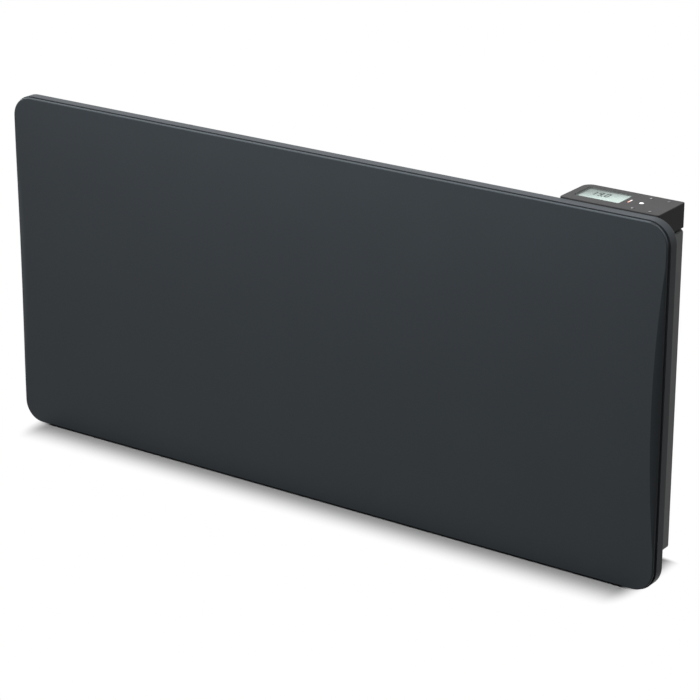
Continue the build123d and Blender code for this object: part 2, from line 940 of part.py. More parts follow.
def key(x, y):
    cap = rod_z(key_radius, x, y, key_bottom, box_top + key_proud)
    cap = fillet(cap.edges().filter_by(GeomType.CIRCLE).sort_by(Axis.Z)[-1], key_proud)
    flange = rod_z(key_radius + key_flange, x, y, key_bottom, key_bottom + key_flange_height)
    stem = rod_z(key_stem_radius, x, y, key_end, key_bottom)
    return cap + flange + stem


def status_light():
    half_x = light_width / 2 - light_gap
    half_y = light_depth / 2 - light_gap
    return block(around(light_x, half_x), around(display_y, half_y), (display_board_top, box_top))


def power_board_place():
    """Limits in X and Y and the underside of the power board."""
    left = box_left + board_left_gap
    y = (box_front + power_board_front_gap, box_back - power_board_back_gap)
    right = block_x - block_width / 2 - power_board_block_gap
    return (left, right), y, base_top + power_board_rise


def power_board_corners():
    """Places of the posts under the power board."""
    x, y, _ = power_board_place()
    inset = 2 * post_radius
    return [(px, py) for px in (x[0] + inset, x[1] - inset) for py in (y[0] + inset, y[1] - inset)]


def power_board():
    x, y, low = power_board_place()
    return block(x, y, (low, low + board_thickness))


def power_parts():
    """Relay, converter and capacitor on the power board."""
    x, y, low = power_board_place()
    top = low + board_thickness
    height = (display_board_top - board_thickness - top) * part_fill
    relay_x = x[0] + part_margin
    relay_y = y[0] + part_margin
    relay = block(
        (relay_x, relay_x + relay_length), (relay_y, relay_y + relay_width), (top, top + height)
    )
    converter_x = (x[1] - part_margin - converter_length, x[1] - part_margin)
    converter = block(converter_x, (relay_y, relay_y + converter_width), (top, top + height))
    radius = height / 2
    start = (relay_x, y[1] - part_margin - radius, top + radius)
    capacitor = rod(radius, start, (relay_x + capacitor_length, start[1], start[2]))
    return group([relay, converter, capacitor])


def terminal_block():
    x = around(block_x, block_width / 2)
    y = around(display_y, block_length / 2)
    top = base_top + block_height
    body = block(x, y, (base_top, top))
    for pole in poles:
        centre = block_x - block_width / 4
        body -= rod_z(pole_hole_radius, centre, pole, top - pole_hole_depth, top)
    return body


def switch_body():
    """Moulded body of the rocker switch, open towards the outside."""
    half_y = switch_width / 2
    half_z = switch_height / 2
    flange = block(
        (box_left - switch_flange_thickness, box_left),
        around(switch_y, half_y + switch_flange),
        around(switch_z, half_z + switch_flange),
    )
    flange = fillet(flange.faces().sort_by(Axis.X)[0].edges(), switch_flange_round)
    shell = block(
        (box_left, box_left + switch_depth),
        around(switch_y, half_y - switch_fit),
        around(switch_z, half_z - switch_fit),
    )
    well = block(
        (box_left - switch_flange_thickness, box_left + switch_depth - switch_wall),
        around(switch_y, half_y - switch_fit - switch_wall),
        around(switch_z, half_z - switch_fit - switch_wall),
    )
    body = flange + shell - well
    low, high = around(switch_z, rocker_half_height() + trunnion_length + trunnion_gap)
    return body - rod_z(trunnion_radius + trunnion_gap, rocker_x(), switch_y, low, high)


def rocker_x():
    return box_left + rocker_gap


def rocker_half_height():
    return switch_height / 2 - switch_wall - switch_fit - rocker_gap


def switch_rocker():
    """Rocker with a shallow V front, tipped to one side at rest, on two trunnions."""
    half = switch_width / 2 - switch_wall - switch_fit - 2 * rocker_gap
    height = 2 * rocker_half_height()
    outline = Polyline(
        (rocker_root, -rocker_root),
        (rocker_root, rocker_root),
        (-rocker_shoulder, half),
        (-rocker_reach, half),
        (-rocker_valley, 0),
        (-rocker_reach, -half),
        (-rocker_shoulder, -half),
        close=True,
    )
    rocker = extrude(Plane.XY.offset(-height / 2) * make_face(outline), height)
    length = height / 2 + trunnion_length
    rocker += rod_z(trunnion_radius, 0, 0, -length, length)
    return Pos(rocker_x(), switch_y, switch_z) * Rot(0, 0, rocker_half_angle) * rocker


def cable_gland():
    bottom = casing_bottom
    dome = rod_z(gland_dome_radius, gland_x, gland_y, bottom - gland_dome_height, bottom)
    dome = fillet(dome.edges().filter_by(GeomType.CIRCLE).sort_by(Axis.Z)[0], gland_dome_round)
    top = bottom + casing_sheet + gland_inner_length
    thread = rod_z(gland_thread_radius, gland_x, gland_y, bottom, top)
    bore = rod_z(cord_hole_radius, gland_x, gland_y, bottom - gland_dome_height, top)
    return dome + thread - bore


def gland_nut():
    low = casing_bottom + casing_sheet
    outline = RegularPolygon(gland_nut_width / 2, 6) - Circle(gland_thread_radius + gland_hole_gap)
    return extrude(Plane.XY.offset(low) * (Pos(gland_x, gland_y) * outline), gland_nut_height)


def lead(name, points, radius):
    """Round lead along straight runs, with each corner as large as its two runs allow."""
    runs = [Vector(*end) - Vector(*start) for start, end in zip(points, points[1:])]
    radii = []
    for before, after in zip(runs, runs[1:]):
        half_turn = math.radians(before.get_angle(after)) / 2
        radii.append(0.45 * min(before.length, after.length) / math.tan(half_turn))
    route = FilletPolyline(*points, radius=radii)
    section = Plane(origin=route @ 0, z_dir=route % 0) * Circle(radius)
    tube = sweep(section, path=route)
    ratio = tube.volume / (math.pi * radius**2 * route.length)
    print(name, "radii", [round(value, 1) for value in radii], "volume ratio", round(ratio, 4))
    return tube


def feed_route():
    """From the terminal block to the back tab of the cut-out."""
    ys, z, reach = cutout_tab_places()
    return [
        (block_x, poles[0], base_top),
        (block_x, poles[0], base_top - 15),
        (block_x - 10, poles[0] - 1, base_top - 26),
        (block_x - 30, ys[1] + 2, z),
        (reach + 20, ys[1], z),
        (reach, ys[1], z),
    ]


def live_route():
    """From the front tab of the cut-out to the element's upper end."""
    ys, z, reach = cutout_tab_places()
    crimp_end = brick_split + crimp_length
    end_z = pass_heights[0]
    return [
        (reach, ys[0], z),
        (terminal_x - 28, ys[0], z),
        (terminal_x - 8, crimp_end - 6, z - 7),
        (terminal_x, crimp_end + 20, end_z + 30),
        (terminal_x, crimp_end + 24, end_z + 13),
        (terminal_x, crimp_end + 18, end_z),
        (terminal_x, crimp_end, end_z),
    ]


def neutral_route():
    """From the terminal block, down the right side, to the element's lower end."""
    crimp_end = brick_split + crimp_length
    side_x = casing_half_width - 14
    end_z = pass_heights[3]
    return [
        (block_x, poles[4], base_top),
        (block_x, poles[4], base_top - 20),
        (side_x, poles[4] + 1, base_top - 48),
        (side_x + 1, poles[4], pass_heights[0] - 30),
        (side_x - 1, poles[4] + 3, pass_heights[1] - 10),
        (side_x, poles[4] + 1, pass_heights[2]),
        (side_x - 3, poles[4], end_z + 26),
        (terminal_x, crimp_end + 22, end_z),
        (terminal_x, crimp_end, end_z),
    ]


def earth_route():
    """From the terminal block to the stud on the casing's back."""
    end_y = wall_inside - earth_block
    end_z = earth_z + earth_block / 2
    return [
        (block_x, poles[1], base_top),
        (block_x, poles[1], base_top - 15),
        (block_x, poles[1] + 8, base_top - 27),
        (block_x, end_y - 7, end_z + 24),
        (block_x, end_y, end_z + 13),
        (block_x, end_y, end_z),
    ]


def sensor_route():
    """From the terminal block to the back end of the core sensor."""
    x, y, z = sensor_place()
    return [
        (block_x, poles[3], base_top),
        (block_x, poles[3], base_top - 11),
        (block_x - 9, poles[3] - 1, base_top - 19),
        (block_x - 34, poles[3] - 2, base_top - 22),
        (cutout_x + 34, poles[3] - 3, base_top - 23),
        (cutout_x, y + 23, z + 7),
        (x + 9, y + 22, z + 2),
        (x, y + 12, z),
        (x, y, z),
    ]


def earth_stud():
    """Block that is welded to the casing's back and takes the end of the earth lead."""
    half = earth_block / 2
    y = (wall_inside - 1.5 * earth_block, wall_inside)
    return block(around(block_x, half), y, around(earth_z, half))


def bracket_rail(side):
    """Upright of the wall bracket: web, outer flange, two hooks and the tab for the latch."""
    centre = side * rail_x
    x = around(centre, rail_width / 2)
    web = block(x, (-rail_sheet, 0), (rail_low, rail_high))
    edge = centre + side * rail_width / 2
    flange_x = sorted((edge, edge - side * rail_sheet))
    rail = web + block(flange_x, (casing_back + rail_flange_gap, 0), (rail_low, rail_high))
    tab_low = rail_high - rail_sheet
    rail += block(x, (casing_back + tab_gap, 0), (tab_low, rail_high))
    half = hook_width / 2
    lip_back = wall_inside - hook_lip_gap
    for z in hook_z:
        rail += block(around(centre, half), (lip_back - rail_sheet, 0), (z - rail_sheet, z))
        rail += block(
            around(centre, half), (lip_back - rail_sheet, lip_back), (z - rail_sheet, z + hook_lip)
        )
    for z in (-wall_screw_pitch_z / 2, wall_screw_pitch_z / 2):
        slot = Plane.XZ * (Pos(centre, z) * SlotOverall(wall_slot_length, 2 * wall_slot_radius))
        rail -= extrude(slot, rail_sheet)
    rail -= rod_z(latch_shaft_radius + latch_gap, centre, -latch_from_wall, tab_low, rail_high)
    for offset in rivet_offsets():
        rail -= rod_y(rivet_radius, centre, offset, -rail_sheet, 0)
    return rail


def rivet_offsets():
    return (-crossbar_height / 2 + rivet_inset, crossbar_height / 2 - rivet_inset)


def bracket_crossbar():
    end = rail_x + rail_width / 2 - rail_sheet - seat_gap
    y = (-2 * rail_sheet, -rail_sheet)
    bar = block((-end, end), y, (-crossbar_height / 2, crossbar_height / 2))
    bar = chamfer(bar.edges().filter_by(Axis.Y), crossbar_chamfer)
    for side in (-1, 1):
        for z in rivet_offsets():
            bar -= rod_y(rivet_radius, side * rail_x, z, y[0], y[1])
    return bar


def bracket_rivets():
    rivets = []
    for side in (-1, 1):
        for z in rivet_offsets():
            x = side * rail_x
            face = -2 * rail_sheet
            shank = rod_y(rivet_radius - thread_gap, x, z, face, -0.1)
            head = rod_y(rivet_head_radius, x, z, face - rivet_head_height, face)
            rim = head.edges().filter_by(GeomType.CIRCLE).sort_by(Axis.Y)[0]
            head = fillet(rim, rivet_head_height * 0.7)
            rivets.append(shank + head)
    return group(rivets)


def bracket_latch(side):
    """Quarter-turn latch: its nose lies over the casing's top and stops the casing from lifting."""
    x = side * rail_x
    y = -latch_from_wall
    low = rail_high + latch_end_gap
    nose_low = casing_top + latch_lift
    nose_high = nose_low + latch_nose_height
    tab_low = rail_high - rail_sheet
    latch = rod_z(latch_disc_radius, x, y, low, nose_high)
    half = latch_nose_width / 2
    nose = block(around(x, half), (y - latch_nose_length, y), (nose_low, nose_high))
    nose = fillet(nose.edges().filter_by(Axis.Z).group_by(Axis.Y)[0], half * 0.9)
    latch += nose
    latch += rod_z(latch_shaft_radius, x, y, tab_low - latch_clip_height, low)
    clip_top = tab_low - latch_end_gap
    latch += rod_z(latch_clip_radius, x, y, tab_low - latch_clip_height, clip_top)
    slot_half = latch_slot_width / 2
    reach = latch_disc_radius * 0.8
    return latch - block(
        around(x, slot_half), around(y, reach), (nose_high - latch_slot_depth, nose_high)
    )


def wall_buffers():
    buffers = []
    z = casing_bottom + buffer_bottom_gap
    for side in (-1, 1):
        pad = rod_y(buffer_radius, side * (casing_half_width - buffer_side_gap), z, casing_back, 0)
        buffers.append(fillet(pad.edges().filter_by(GeomType.CIRCLE).sort_by(Axis.Y)[-1], buffer_round))
    return group(buffers)


nodes = {
    "front_panel": front_panel(),
    "panel_gasket": panel_gasket(),
    "front_frame": front_frame(),
    "panel_studs": panel_studs(),
    "panel_screws": panel_screws(),
    "frame_screws": frame_screws(),
    "rear_casing": rear_casing(),
    "casing_screws": casing_screws(),
    "heating_element": heating_element(),
    "element_bushes": element_bushes(),
    "element_terminals": element_terminals(),
    "core_shelf": core_shelf(),
    "core_strap_left": core_strap(-strap_pitch),
    "core_strap_middle": core_strap(0),
    "core_strap_right": core_strap(strap_pitch),
    "reflector_tray": reflector_tray(),
    "insulation_board": insulation_board(),
    "cutout_bracket": cutout_bracket(),
    "thermal_cutout": thermal_cutout(),
    "core_sensor": core_sensor(),
    "control_housing": control_housing(),
    "control_base": control_base(),
    "control_screws": control_screws(),
    "display_window": display_window(),
    "display_module": display_module(),
    "display_board": display_board(),
    "tact_switches": tact_switches(),
    "status_light": status_light(),
    "power_board": power_board(),
    "power_parts": power_parts(),
    "terminal_block": terminal_block(),
    "switch_body": switch_body(),
    "switch_rocker": switch_rocker(),
    "cable_gland": cable_gland(),
    "gland_nut": gland_nut(),
    "bracket_rail_left": bracket_rail(-1),
    "bracket_rail_right": bracket_rail(1),
    "bracket_crossbar": bracket_crossbar(),
    "bracket_rivets": bracket_rivets(),
    "bracket_latch_left": bracket_latch(-1),
    "bracket_latch_right": bracket_latch(1),
    "wall_buffers": wall_buffers(),
}
for index in range(brick_count):
    nodes[f"core_brick_front_{index + 1}"] = core_brick(index, front_brick_face)
    nodes[f"core_brick_rear_{index + 1}"] = core_brick(index, rear_brick_face)
for name, x, y in key_points():
    nodes[name] = key(x, y)
for name, points, radius in (
    ("lead_cutout_feed", feed_route(), lead_radius),
    ("lead_element_live", live_route(), lead_radius),
    ("lead_element_neutral", neutral_route(), lead_radius),
    ("lead_earth", earth_route(), lead_radius),
    ("lead_sensor", sensor_route(), sensor_lead_radius),
):
    nodes[name] = lead(name, points, radius)

os.makedirs("parts", exist_ok=True)
for name, shape in nodes.items():
    export_step(shape, f"parts/{name}.step")
print(len(nodes), "nodes")
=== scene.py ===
import json
import math

import bmesh
import bpy
from mathutils import Euler, Matrix, Vector


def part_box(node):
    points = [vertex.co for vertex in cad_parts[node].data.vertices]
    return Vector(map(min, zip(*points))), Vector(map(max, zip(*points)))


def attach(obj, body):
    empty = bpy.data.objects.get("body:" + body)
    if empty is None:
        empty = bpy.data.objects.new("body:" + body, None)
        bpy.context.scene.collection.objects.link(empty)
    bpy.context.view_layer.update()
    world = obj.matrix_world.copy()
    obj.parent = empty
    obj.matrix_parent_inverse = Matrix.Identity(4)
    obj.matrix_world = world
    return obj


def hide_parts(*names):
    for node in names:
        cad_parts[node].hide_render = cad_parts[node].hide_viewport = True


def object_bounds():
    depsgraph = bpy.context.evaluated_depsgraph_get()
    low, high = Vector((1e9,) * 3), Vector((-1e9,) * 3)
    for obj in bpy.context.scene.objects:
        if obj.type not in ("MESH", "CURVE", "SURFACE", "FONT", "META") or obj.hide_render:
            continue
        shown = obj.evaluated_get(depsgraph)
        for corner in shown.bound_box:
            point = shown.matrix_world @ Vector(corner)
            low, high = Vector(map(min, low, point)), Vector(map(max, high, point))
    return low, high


bl_info = {
    "name": "Electric storage radiator",
    "version": (1, 0, 0),
    "blender": (4, 5, 0),
    "location": "3D View > Sidebar > Radiator",
    "description": "Finishes a slim wall-hung storage radiator around its packed frame",
    "category": "Object",
}

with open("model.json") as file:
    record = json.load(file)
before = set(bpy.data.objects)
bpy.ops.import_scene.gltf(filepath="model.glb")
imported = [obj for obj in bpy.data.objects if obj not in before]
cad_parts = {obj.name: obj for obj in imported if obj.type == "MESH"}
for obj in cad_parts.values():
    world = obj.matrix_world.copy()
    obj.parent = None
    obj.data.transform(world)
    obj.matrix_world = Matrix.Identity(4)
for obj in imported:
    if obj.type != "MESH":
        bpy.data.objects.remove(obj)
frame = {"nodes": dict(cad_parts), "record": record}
cad_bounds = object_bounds()

MM = 0.001
MERGE_DISTANCE = 1e-6
FLAT_ANGLE = math.radians(0.05)
SHARP_ANGLE = math.radians(30)
WHITE = (1.0, 1.0, 1.0, 1.0)
EVEN = (1.0, 1.0, 1.0)

node_bodies = {node: body for body, nodes in frame["record"]["behaviour"]["bodies"].items() for node in nodes}
slot_colours = {item["slot"]: tuple(item["base_color"][:3]) for item in frame["record"]["materials"]}


def colour_property(tone, name, description):
    """Colour that starts as a given one, or as the one that the record gives for a material slot."""
    default = slot_colours.get(tone, tone)
    return bpy.props.FloatVectorProperty(
        name=name, description=description, default=default, subtype="COLOR", size=3, min=0, max=1
    )


def number_property(name, description, default, **limits):
    return bpy.props.FloatProperty(name=name, description=description, default=default, **limits)


def length_property(name, description, default):
    return number_property(name, description, default, min=0, unit="LENGTH", precision=5)


def angle_property(name, description, degrees):
    return number_property(name, description, math.radians(degrees), unit="ROTATION")


def count_property(name, description, default):
    return bpy.props.IntProperty(name=name, description=description, default=default, min=3)


class RadiatorColours(bpy.types.PropertyGroup):
    """Colours of the finishes"""

    panel: colour_property("panel_paint", "Front panel", "Powder coat of the front panel")
    frame: colour_property("frame_paint", "Front frame", "Powder coat of the frame behind the panel")
    casing: colour_property("casing_paint", "Rear casing", "Powder coat of the casing")
    bracket: colour_property("bracket_steel", "Wall bracket", "Powder coat of the bracket")
    housing: colour_property("housing_plastic", "Control box", "Moulded plastic of the control box")
    keys: colour_property("key_plastic", "Keys", "Plastic of the four dark keys")
    select_key: colour_property("select_key_plastic", "Select key", "Plastic of the white key")
    display: colour_property("display_face", "Display", "Ground of the liquid-crystal display")
    ceramic: colour_property("ceramic", "Core bricks", "Fired ceramic of the core")
    display_ink: colour_property((0.02, 0.028, 0.027), "Digits", "Dark segments of the display")
    mark_ink: colour_property((0.3, 0.29, 0.3), "Key marks", "Printed signs on the dark keys")


class RadiatorSizes(bpy.types.PropertyGroup):
    """Sizes of the details that the finish adds"""

    sheet_round: length_property("Sheet edge", "Rounding of the edges of painted sheet", 0.35 * MM)
    mould_round: length_property("Moulded edge", "Rounding of the edges of moulded plastic", 0.3 * MM)
    fine_round: length_property("Fine edge", "Rounding of the edges of small inner pieces", 0.15 * MM)
    thread_pitch: length_property("Thread pitch", "Pitch of the screw threads", 1.0 * MM)
    key_dish: length_property("Key dish", "Depth of the hollow in a key's top", 0.2 * MM)
    digit_height: length_property("Digit height", "Height of the display's digits", 13.5 * MM)
    digit_stroke: length_property("Digit stroke", "Width of a segment of the digits", 2.1 * MM)
    mark_size: length_property("Mark size", "Width of the signs on the dark keys", 4.2 * MM)
    ink_depth: length_property("Ink depth", "Thickness of printed marks and segments", 0.05 * MM)
    gland_pitch: length_property("Gland pitch", "Pitch of the cable gland's thread", 1.5 * MM)
    gland_ribs: count_property("Gland ribs", "Grip ribs round the cable gland", 18)
    latch_ribs: count_property("Latch ribs", "Grip ribs round each latch", 20)


class RadiatorStudio(bpy.types.PropertyGroup):
    """Lamps, background and camera"""

    focal_length: number_property("Focal length", "Lens of the camera in millimetres", 138.742, min=1)
    azimuth: angle_property("Azimuth", "Turn of the camera to the right", 34.832)
    elevation: angle_property("Elevation", "Tilt of the camera down", 20.412)
    roll: angle_property("Roll", "Turn of the camera about its own axis", 0.136)
    side_light: number_property("Side light", "Strength of the distant light from the left", 3.9, min=0)
    top_light: number_property("Top light", "Strength of the distant light from straight above", 3.4, min=0)
    top_power: number_property("Top lamp", "Power of the soft lamp above", 2.7, min=0)
    ambient: number_property("Ambient", "Strength of the light from all round", 0.06, min=0)
    floor_bounce: number_property("Floor bounce", "How pale the floor is to other light", 0.04, min=0, max=1)
    floor_gap: length_property("Floor gap", "Distance from the radiator down to the floor", 0.5 * MM)


def arithmetic(operation, reflected=False):
    """Operator that adds one Math node."""

    def method(self, other):
        return self.steps.maths(operation, *((other, self) if reflected else (self, other)))

    return method


class Value:
    """Number from a socket of a node tree. Arithmetic on it adds the Math nodes that it needs."""

    def __init__(self, steps, socket):
        self.steps = steps
        self.socket = socket

    __add__ = arithmetic("ADD")
    __radd__ = arithmetic("ADD", True)
    __sub__ = arithmetic("SUBTRACT")
    __rsub__ = arithmetic("SUBTRACT", True)
    __mul__ = arithmetic("MULTIPLY")
    __rmul__ = arithmetic("MULTIPLY", True)
    __truediv__ = arithmetic("DIVIDE")
    __gt__ = arithmetic("GREATER_THAN")

    def __abs__(self):
        return self.steps.maths("ABSOLUTE", self)

    def ramp(self, low, high):
        """Rises smoothly from 0 at low to 1 at high."""
        inputs = {"Value": self, "From Min": low, "From Max": high}
        return self.steps.add("ShaderNodeMapRange", {"interpolation_type": "SMOOTHSTEP"}, inputs)


class Steps:
    """Node tree that is filled by one method."""

    def __init__(self, tree):
        self.tree = tree
        tree.nodes.clear()

    def add(self, kind, settings=None, inputs=None, output=0):
        """Adds a node of any type: its settings come first, then the values or links of its sockets."""
        node = self.tree.nodes.new(kind)
        for name, value in (settings or {}).items():
            if name == "stops":
                fill_ramp(node.color_ramp, value)
            else:
                setattr(node, name, value)
        for name, value in (inputs or {}).items():
            if isinstance(value, Value):
                self.tree.links.new(value.socket, node.inputs[name])
            else:
                node.inputs[name].default_value = value
        if node.outputs:
            return Value(self, node.outputs[output])

    def maths(self, operation, first, second=0.0, **settings):
        return self.add("ShaderNodeMath", {"operation": operation, **settings}, {0: first, 1: second})


class Finish(Steps):
    """Material with a main colour: the one of the slot with its name, where none is given."""

    def __init__(self, name, colour=None):
        self.material = bpy.data.materials.new(name)
        self.material.use_nodes = True
        super().__init__(self.material.node_tree)
        self.colour = slot_colours.get(name) if colour is None else colour[:3]

    def axis(self, name):
        point = self.add("ShaderNodeTexCoord", output="Object")
        return self.add("ShaderNodeSeparateXYZ", {}, {0: point}, output=name)

    def across(self, name, box):
        """0 to 1 from one side of a box to the other."""
        low, high = [getattr(corner, name.lower()) for corner in box]
        return (self.axis(name) - low) / (high - low)

    def pattern(self, kind, size, settings, inputs, output=0, stretch=EVEN):
        """Texture on object coordinates, with features of a given size in millimetres."""
        point = self.add("ShaderNodeTexCoord", output="Object")
        place = self.add("ShaderNodeMapping", {}, {"Vector": point, "Scale": stretch})
        return self.add(kind, settings, {"Vector": place, "Scale": 1 / (size * MM), **inputs}, output)

    def noise(self, size, detail=2.0, stretch=EVEN, roughness=0.5):
        inputs = {"Detail": detail, "Roughness": roughness}
        return self.pattern("ShaderNodeTexNoise", size, {}, inputs, 0, stretch)

    def cells(self, size, feature="F1", output="Distance"):
        return self.pattern("ShaderNodeTexVoronoi", size, {"feature": feature}, {}, output)

    def tint(self, factor, colour=None):
        """The main colour, or another one, times a number."""
        inputs = {0: self.colour if colour is None else colour, "Scale": factor}
        return self.add("ShaderNodeVectorMath", {"operation": "SCALE"}, inputs)

    def mix(self, factor, first, second):
        first, second = [c if isinstance(c, Value) else (*c[:3], 1.0) for c in (first, second)]
        return self.add("ShaderNodeMix", {"data_type": "RGBA"}, {0: factor, 6: first, 7: second}, output=2)

    def surface(self, base, roughness, height=None, depth=0.0, strength=0.5, **others):
        """Main shader, with a bump that is depth millimetres high.

        others are its remaining sockets, with underscores for blanks.
        """
        inputs = {"Base Color": base, "Roughness": roughness}
        if height is not None:
            relief = {"Height": height, "Distance": depth * MM, "Strength": strength}
            inputs["Normal"] = self.add("ShaderNodeBump", {}, relief)
        inputs.update({name.replace("_", " "): value for name, value in others.items()})
        shader = self.add("ShaderNodeBsdfPrincipled", {}, inputs)
        self.add("ShaderNodeOutputMaterial", {}, {"Surface": shader})
        return self.material


def fill_ramp(ramp, stops):
    """Sets a colour ramp from (position, colour) pairs."""
    while len(ramp.elements) < len(stops):
        ramp.elements.new(1.0)
    for element, (position, colour) in zip(ramp.elements, stops):
        element.position = position
        element.color = (*colour, 1.0)


def powder_coat(name, colour, roughness=0.4, grain=1.0, gloss=0.15, bevel_painted_shade=1.0):
    """Baked powder coat: orange peel, fine flecks and a faint cloudiness.

    The last argument is the painted shade of a face that turns slightly to the right, such as the panel's
    side bevel: a factor on its colour.
    """
    coat = Finish(name, colour)
    peel = coat.noise(1.6)
    fleck = coat.noise(0.35, 1.0)
    cloud = coat.noise(90, 3.0)
    normal = coat.add("ShaderNodeNewGeometry", output="True Normal")
    right = coat.add("ShaderNodeSeparateXYZ", {}, {0: normal}, output="X")
    # Painted shade: faces turned a little to the right get a darker colour, not less light.
    bevel = right.ramp(0.08, 0.14) * (1 - right.ramp(0.3, 0.5))
    shade = 1 + (cloud - 0.5) * 0.08 + (fleck - 0.5) * 0.25 * grain
    tone = coat.tint(shade * (1 + bevel * (bevel_painted_shade - 1)))
    roughness = roughness + (peel - 0.5) * 0.1 + (cloud - 0.5) * 0.06
    return coat.surface(tone, roughness, peel + fleck * 0.35, 0.02 * grain, Specular_IOR_Level=gloss)


def grained_plastic(name, colour=None, roughness=0.55, grain=0.45, depth=0.02, gloss=0.25):
    """Moulded plastic with a spark-eroded grain, its size and depth in millimetres."""
    plastic = Finish(name, colour)
    pit = plastic.cells(grain)
    tone = plastic.tint(0.94 + pit * 0.1 + (plastic.noise(25) - 0.5) * 0.08)
    return plastic.surface(tone, roughness + (pit - 0.5) * 0.12, pit, depth, 0.6, Specular_IOR_Level=gloss)


def gloss_plastic(name, colour=None, roughness=0.16):
    """Polished moulding with a slight flow pattern and fine hairlines."""
    plastic = Finish(name, colour)
    flow = plastic.noise(12, 2.0, (1, 3, 1))
    hairline = plastic.noise(0.25, 1.0, (1, 14, 1))
    tone = plastic.tint(0.97 + flow * 0.06)
    return plastic.surface(tone, roughness + hairline * 0.06, flow, 0.01, 0.4, Coat_Weight=0.3)


def moulded_rubber(name, pore_size=0.8):
    """Matte rubber: closed skin with small pores and a pale bloom."""
    rubber = Finish(name)
    bloom = rubber.noise(7, 3.0)
    tone = rubber.tint(0.85 + bloom * 0.4)
    roughness = 0.82 + (bloom - 0.5) * 0.1
    return rubber.surface(tone, roughness, rubber.cells(pore_size), 0.04, 0.7, Specular_IOR_Level=0.3)


def plated_steel(name, roughness=0.32, colour=None):
    """Plated steel with turning marks and cloudy passivation."""
    steel = Finish(name, colour)
    mark = steel.noise(0.18, 2.0, (1, 6, 6))
    tone = steel.tint(0.875 + steel.noise(3, 3.0) * 0.25)
    return steel.surface(tone, roughness + (mark - 0.5) * 0.15, mark, 0.01, Metallic=1.0)


def spangled_zinc():
    """Hot-dip galvanised sheet: each crystal has its own grey."""
    zinc = Finish("galvanised_sheet")
    level = zinc.add("ShaderNodeSeparateColor", {}, {0: zinc.cells(9, output="Color")})
    edge = zinc.cells(9, "DISTANCE_TO_EDGE")
    fern = zinc.noise(0.6, 3.0)
    tone = zinc.tint(0.72 + level * 0.26 + fern * 0.08)
    return zinc.surface(tone, 0.34 + level * 0.18, edge.ramp(0, 0.06) + fern * 0.2, 0.02, Metallic=0.9)


def rolled_aluminium():
    """Bright rolled sheet with fine streaks along the rolling direction."""
    metal = Finish("reflector_aluminium")
    streak = metal.noise(0.5, 3.0, (0.03, 1, 1))
    tone = metal.tint(0.88 + streak * 0.12)
    return metal.surface(tone, 0.18 + streak * 0.16, streak + metal.noise(60), 0.015, Metallic=1.0)


def fired_brick(colour):
    """Dense fired ceramic: sandy grain, darker inclusions and lighter bloom."""
    brick = Finish("ceramic", colour)
    sand = brick.noise(1.1, 3.0, roughness=0.65)
    spot = brick.cells(3.2).ramp(0.28, 0.12)
    ground = brick.tint(0.75 + sand * 0.35 + (brick.noise(40, 3.0) - 0.5) * 0.3)
    tone = brick.mix(spot * 0.6, ground, [value * 0.35 for value in brick.colour])
    return brick.surface(tone, 0.88 + (sand - 0.5) * 0.1, sand - spot * 0.3, 0.12, 0.8)


def steatite():
    """White insulating ceramic with a thin glaze."""
    glaze = Finish("bush_ceramic")
    cloud = glaze.noise(5, 3.0)
    speck = glaze.cells(0.9).ramp(0.1, 0.02)
    tone = glaze.mix(speck * 0.5, glaze.tint(0.92 + cloud * 0.1), (0.35, 0.28, 0.2))
    return glaze.surface(tone, 0.3 + cloud * 0.1, cloud, 0.03, Coat_Weight=0.4)


def heat_tinted_tube():
    """Stainless sheath with straw, brown and blue heat colours along its length."""
    tube = Finish("element_steel")
    grey, straw, brown, blue = (0.16, 0.15, 0.15), (0.34, 0.24, 0.13), (0.2, 0.1, 0.12), (0.1, 0.13, 0.24)
    stops = [(0.2, grey), (0.45, straw), (0.62, brown), (0.8, blue)]
    tints = tube.add("ShaderNodeValToRGB", {"stops": stops}, {0: tube.noise(45, 2.0, (1, 1, 0.2))})
    scale = tube.noise(0.5, 3.0)
    tone = tube.mix(0.45 + scale * 0.2, tube.colour, tints)
    return tube.surface(tone, 0.38 + scale * 0.15, scale, 0.02, Metallic=0.9)


def fibre_board():
    """Pressed fibre insulation with matted strands."""
    board = Finish("insulation_wool")
    along, across = [board.noise(0.9, 3.0, stretch) for stretch in ((0.15, 1, 1), (1, 1, 0.15))]
    mat = (along + across) * 0.5
    tuft = board.noise(14, 3.0)
    tone = board.tint(0.7 + mat * 0.35 + (tuft - 0.5) * 0.2)
    return board.surface(tone, 0.95, mat + tuft, 0.3, 0.8, Specular_IOR_Level=0.1)


def circuit_board():
    """Solder resist over copper tracks, with tinned pads."""
    board = Finish("board_laminate")
    inputs = {"Mortar Size": 0.035, "Row Height": 0.21}
    track = board.pattern("ShaderNodeTexBrick", 5.2, {"offset": 0.37}, inputs, "Fac")
    pad = board.cells(3.6).ramp(0.2, 0.16)
    covered = board.mix(track, board.colour, [min(1.0, value * 1.9) for value in board.colour])
    tone = board.mix(pad, covered, (0.62, 0.62, 0.6))
    return board.surface(tone, 0.28 + pad * 0.1, track + pad, 0.04, Metallic=pad * 0.9, Coat_Weight=0.3)


def window_glass():
    """Clear moulded window: nearly invisible but for its gloss."""
    glass = Finish("window_glass")
    haze = glass.noise(18)
    look = {"Alpha": 0.03 + haze * 0.03, "Specular_IOR_Level": 0.1}
    return glass.surface(glass.tint(0.95 + haze * 0.1), 0.05 + haze * 0.04, haze, 0.01, 0.3, **look)


def display_ground(colour, box):
    """Reflective display ground: aqua, with painted shade that makes it darker and greyer towards its back
    and its left.
    """
    ground = Finish("display_face", colour)
    # Painted shade: the ground is painted dull grey towards its back and left, full colour towards its front
    # right.
    painted_light = (ground.across("X", box) * 0.6 + (1 - ground.across("Y", box)) * 0.7).ramp(0.15, 1.05)
    tone = ground.mix(painted_light, [0.3 * value + 0.02 for value in ground.colour], ground.colour)
    tone = ground.tint(0.74 + ground.noise(0.12, 1.0) * 0.04, tone)
    return ground.surface(tone, 0.3, Specular_IOR_Level=0.05)


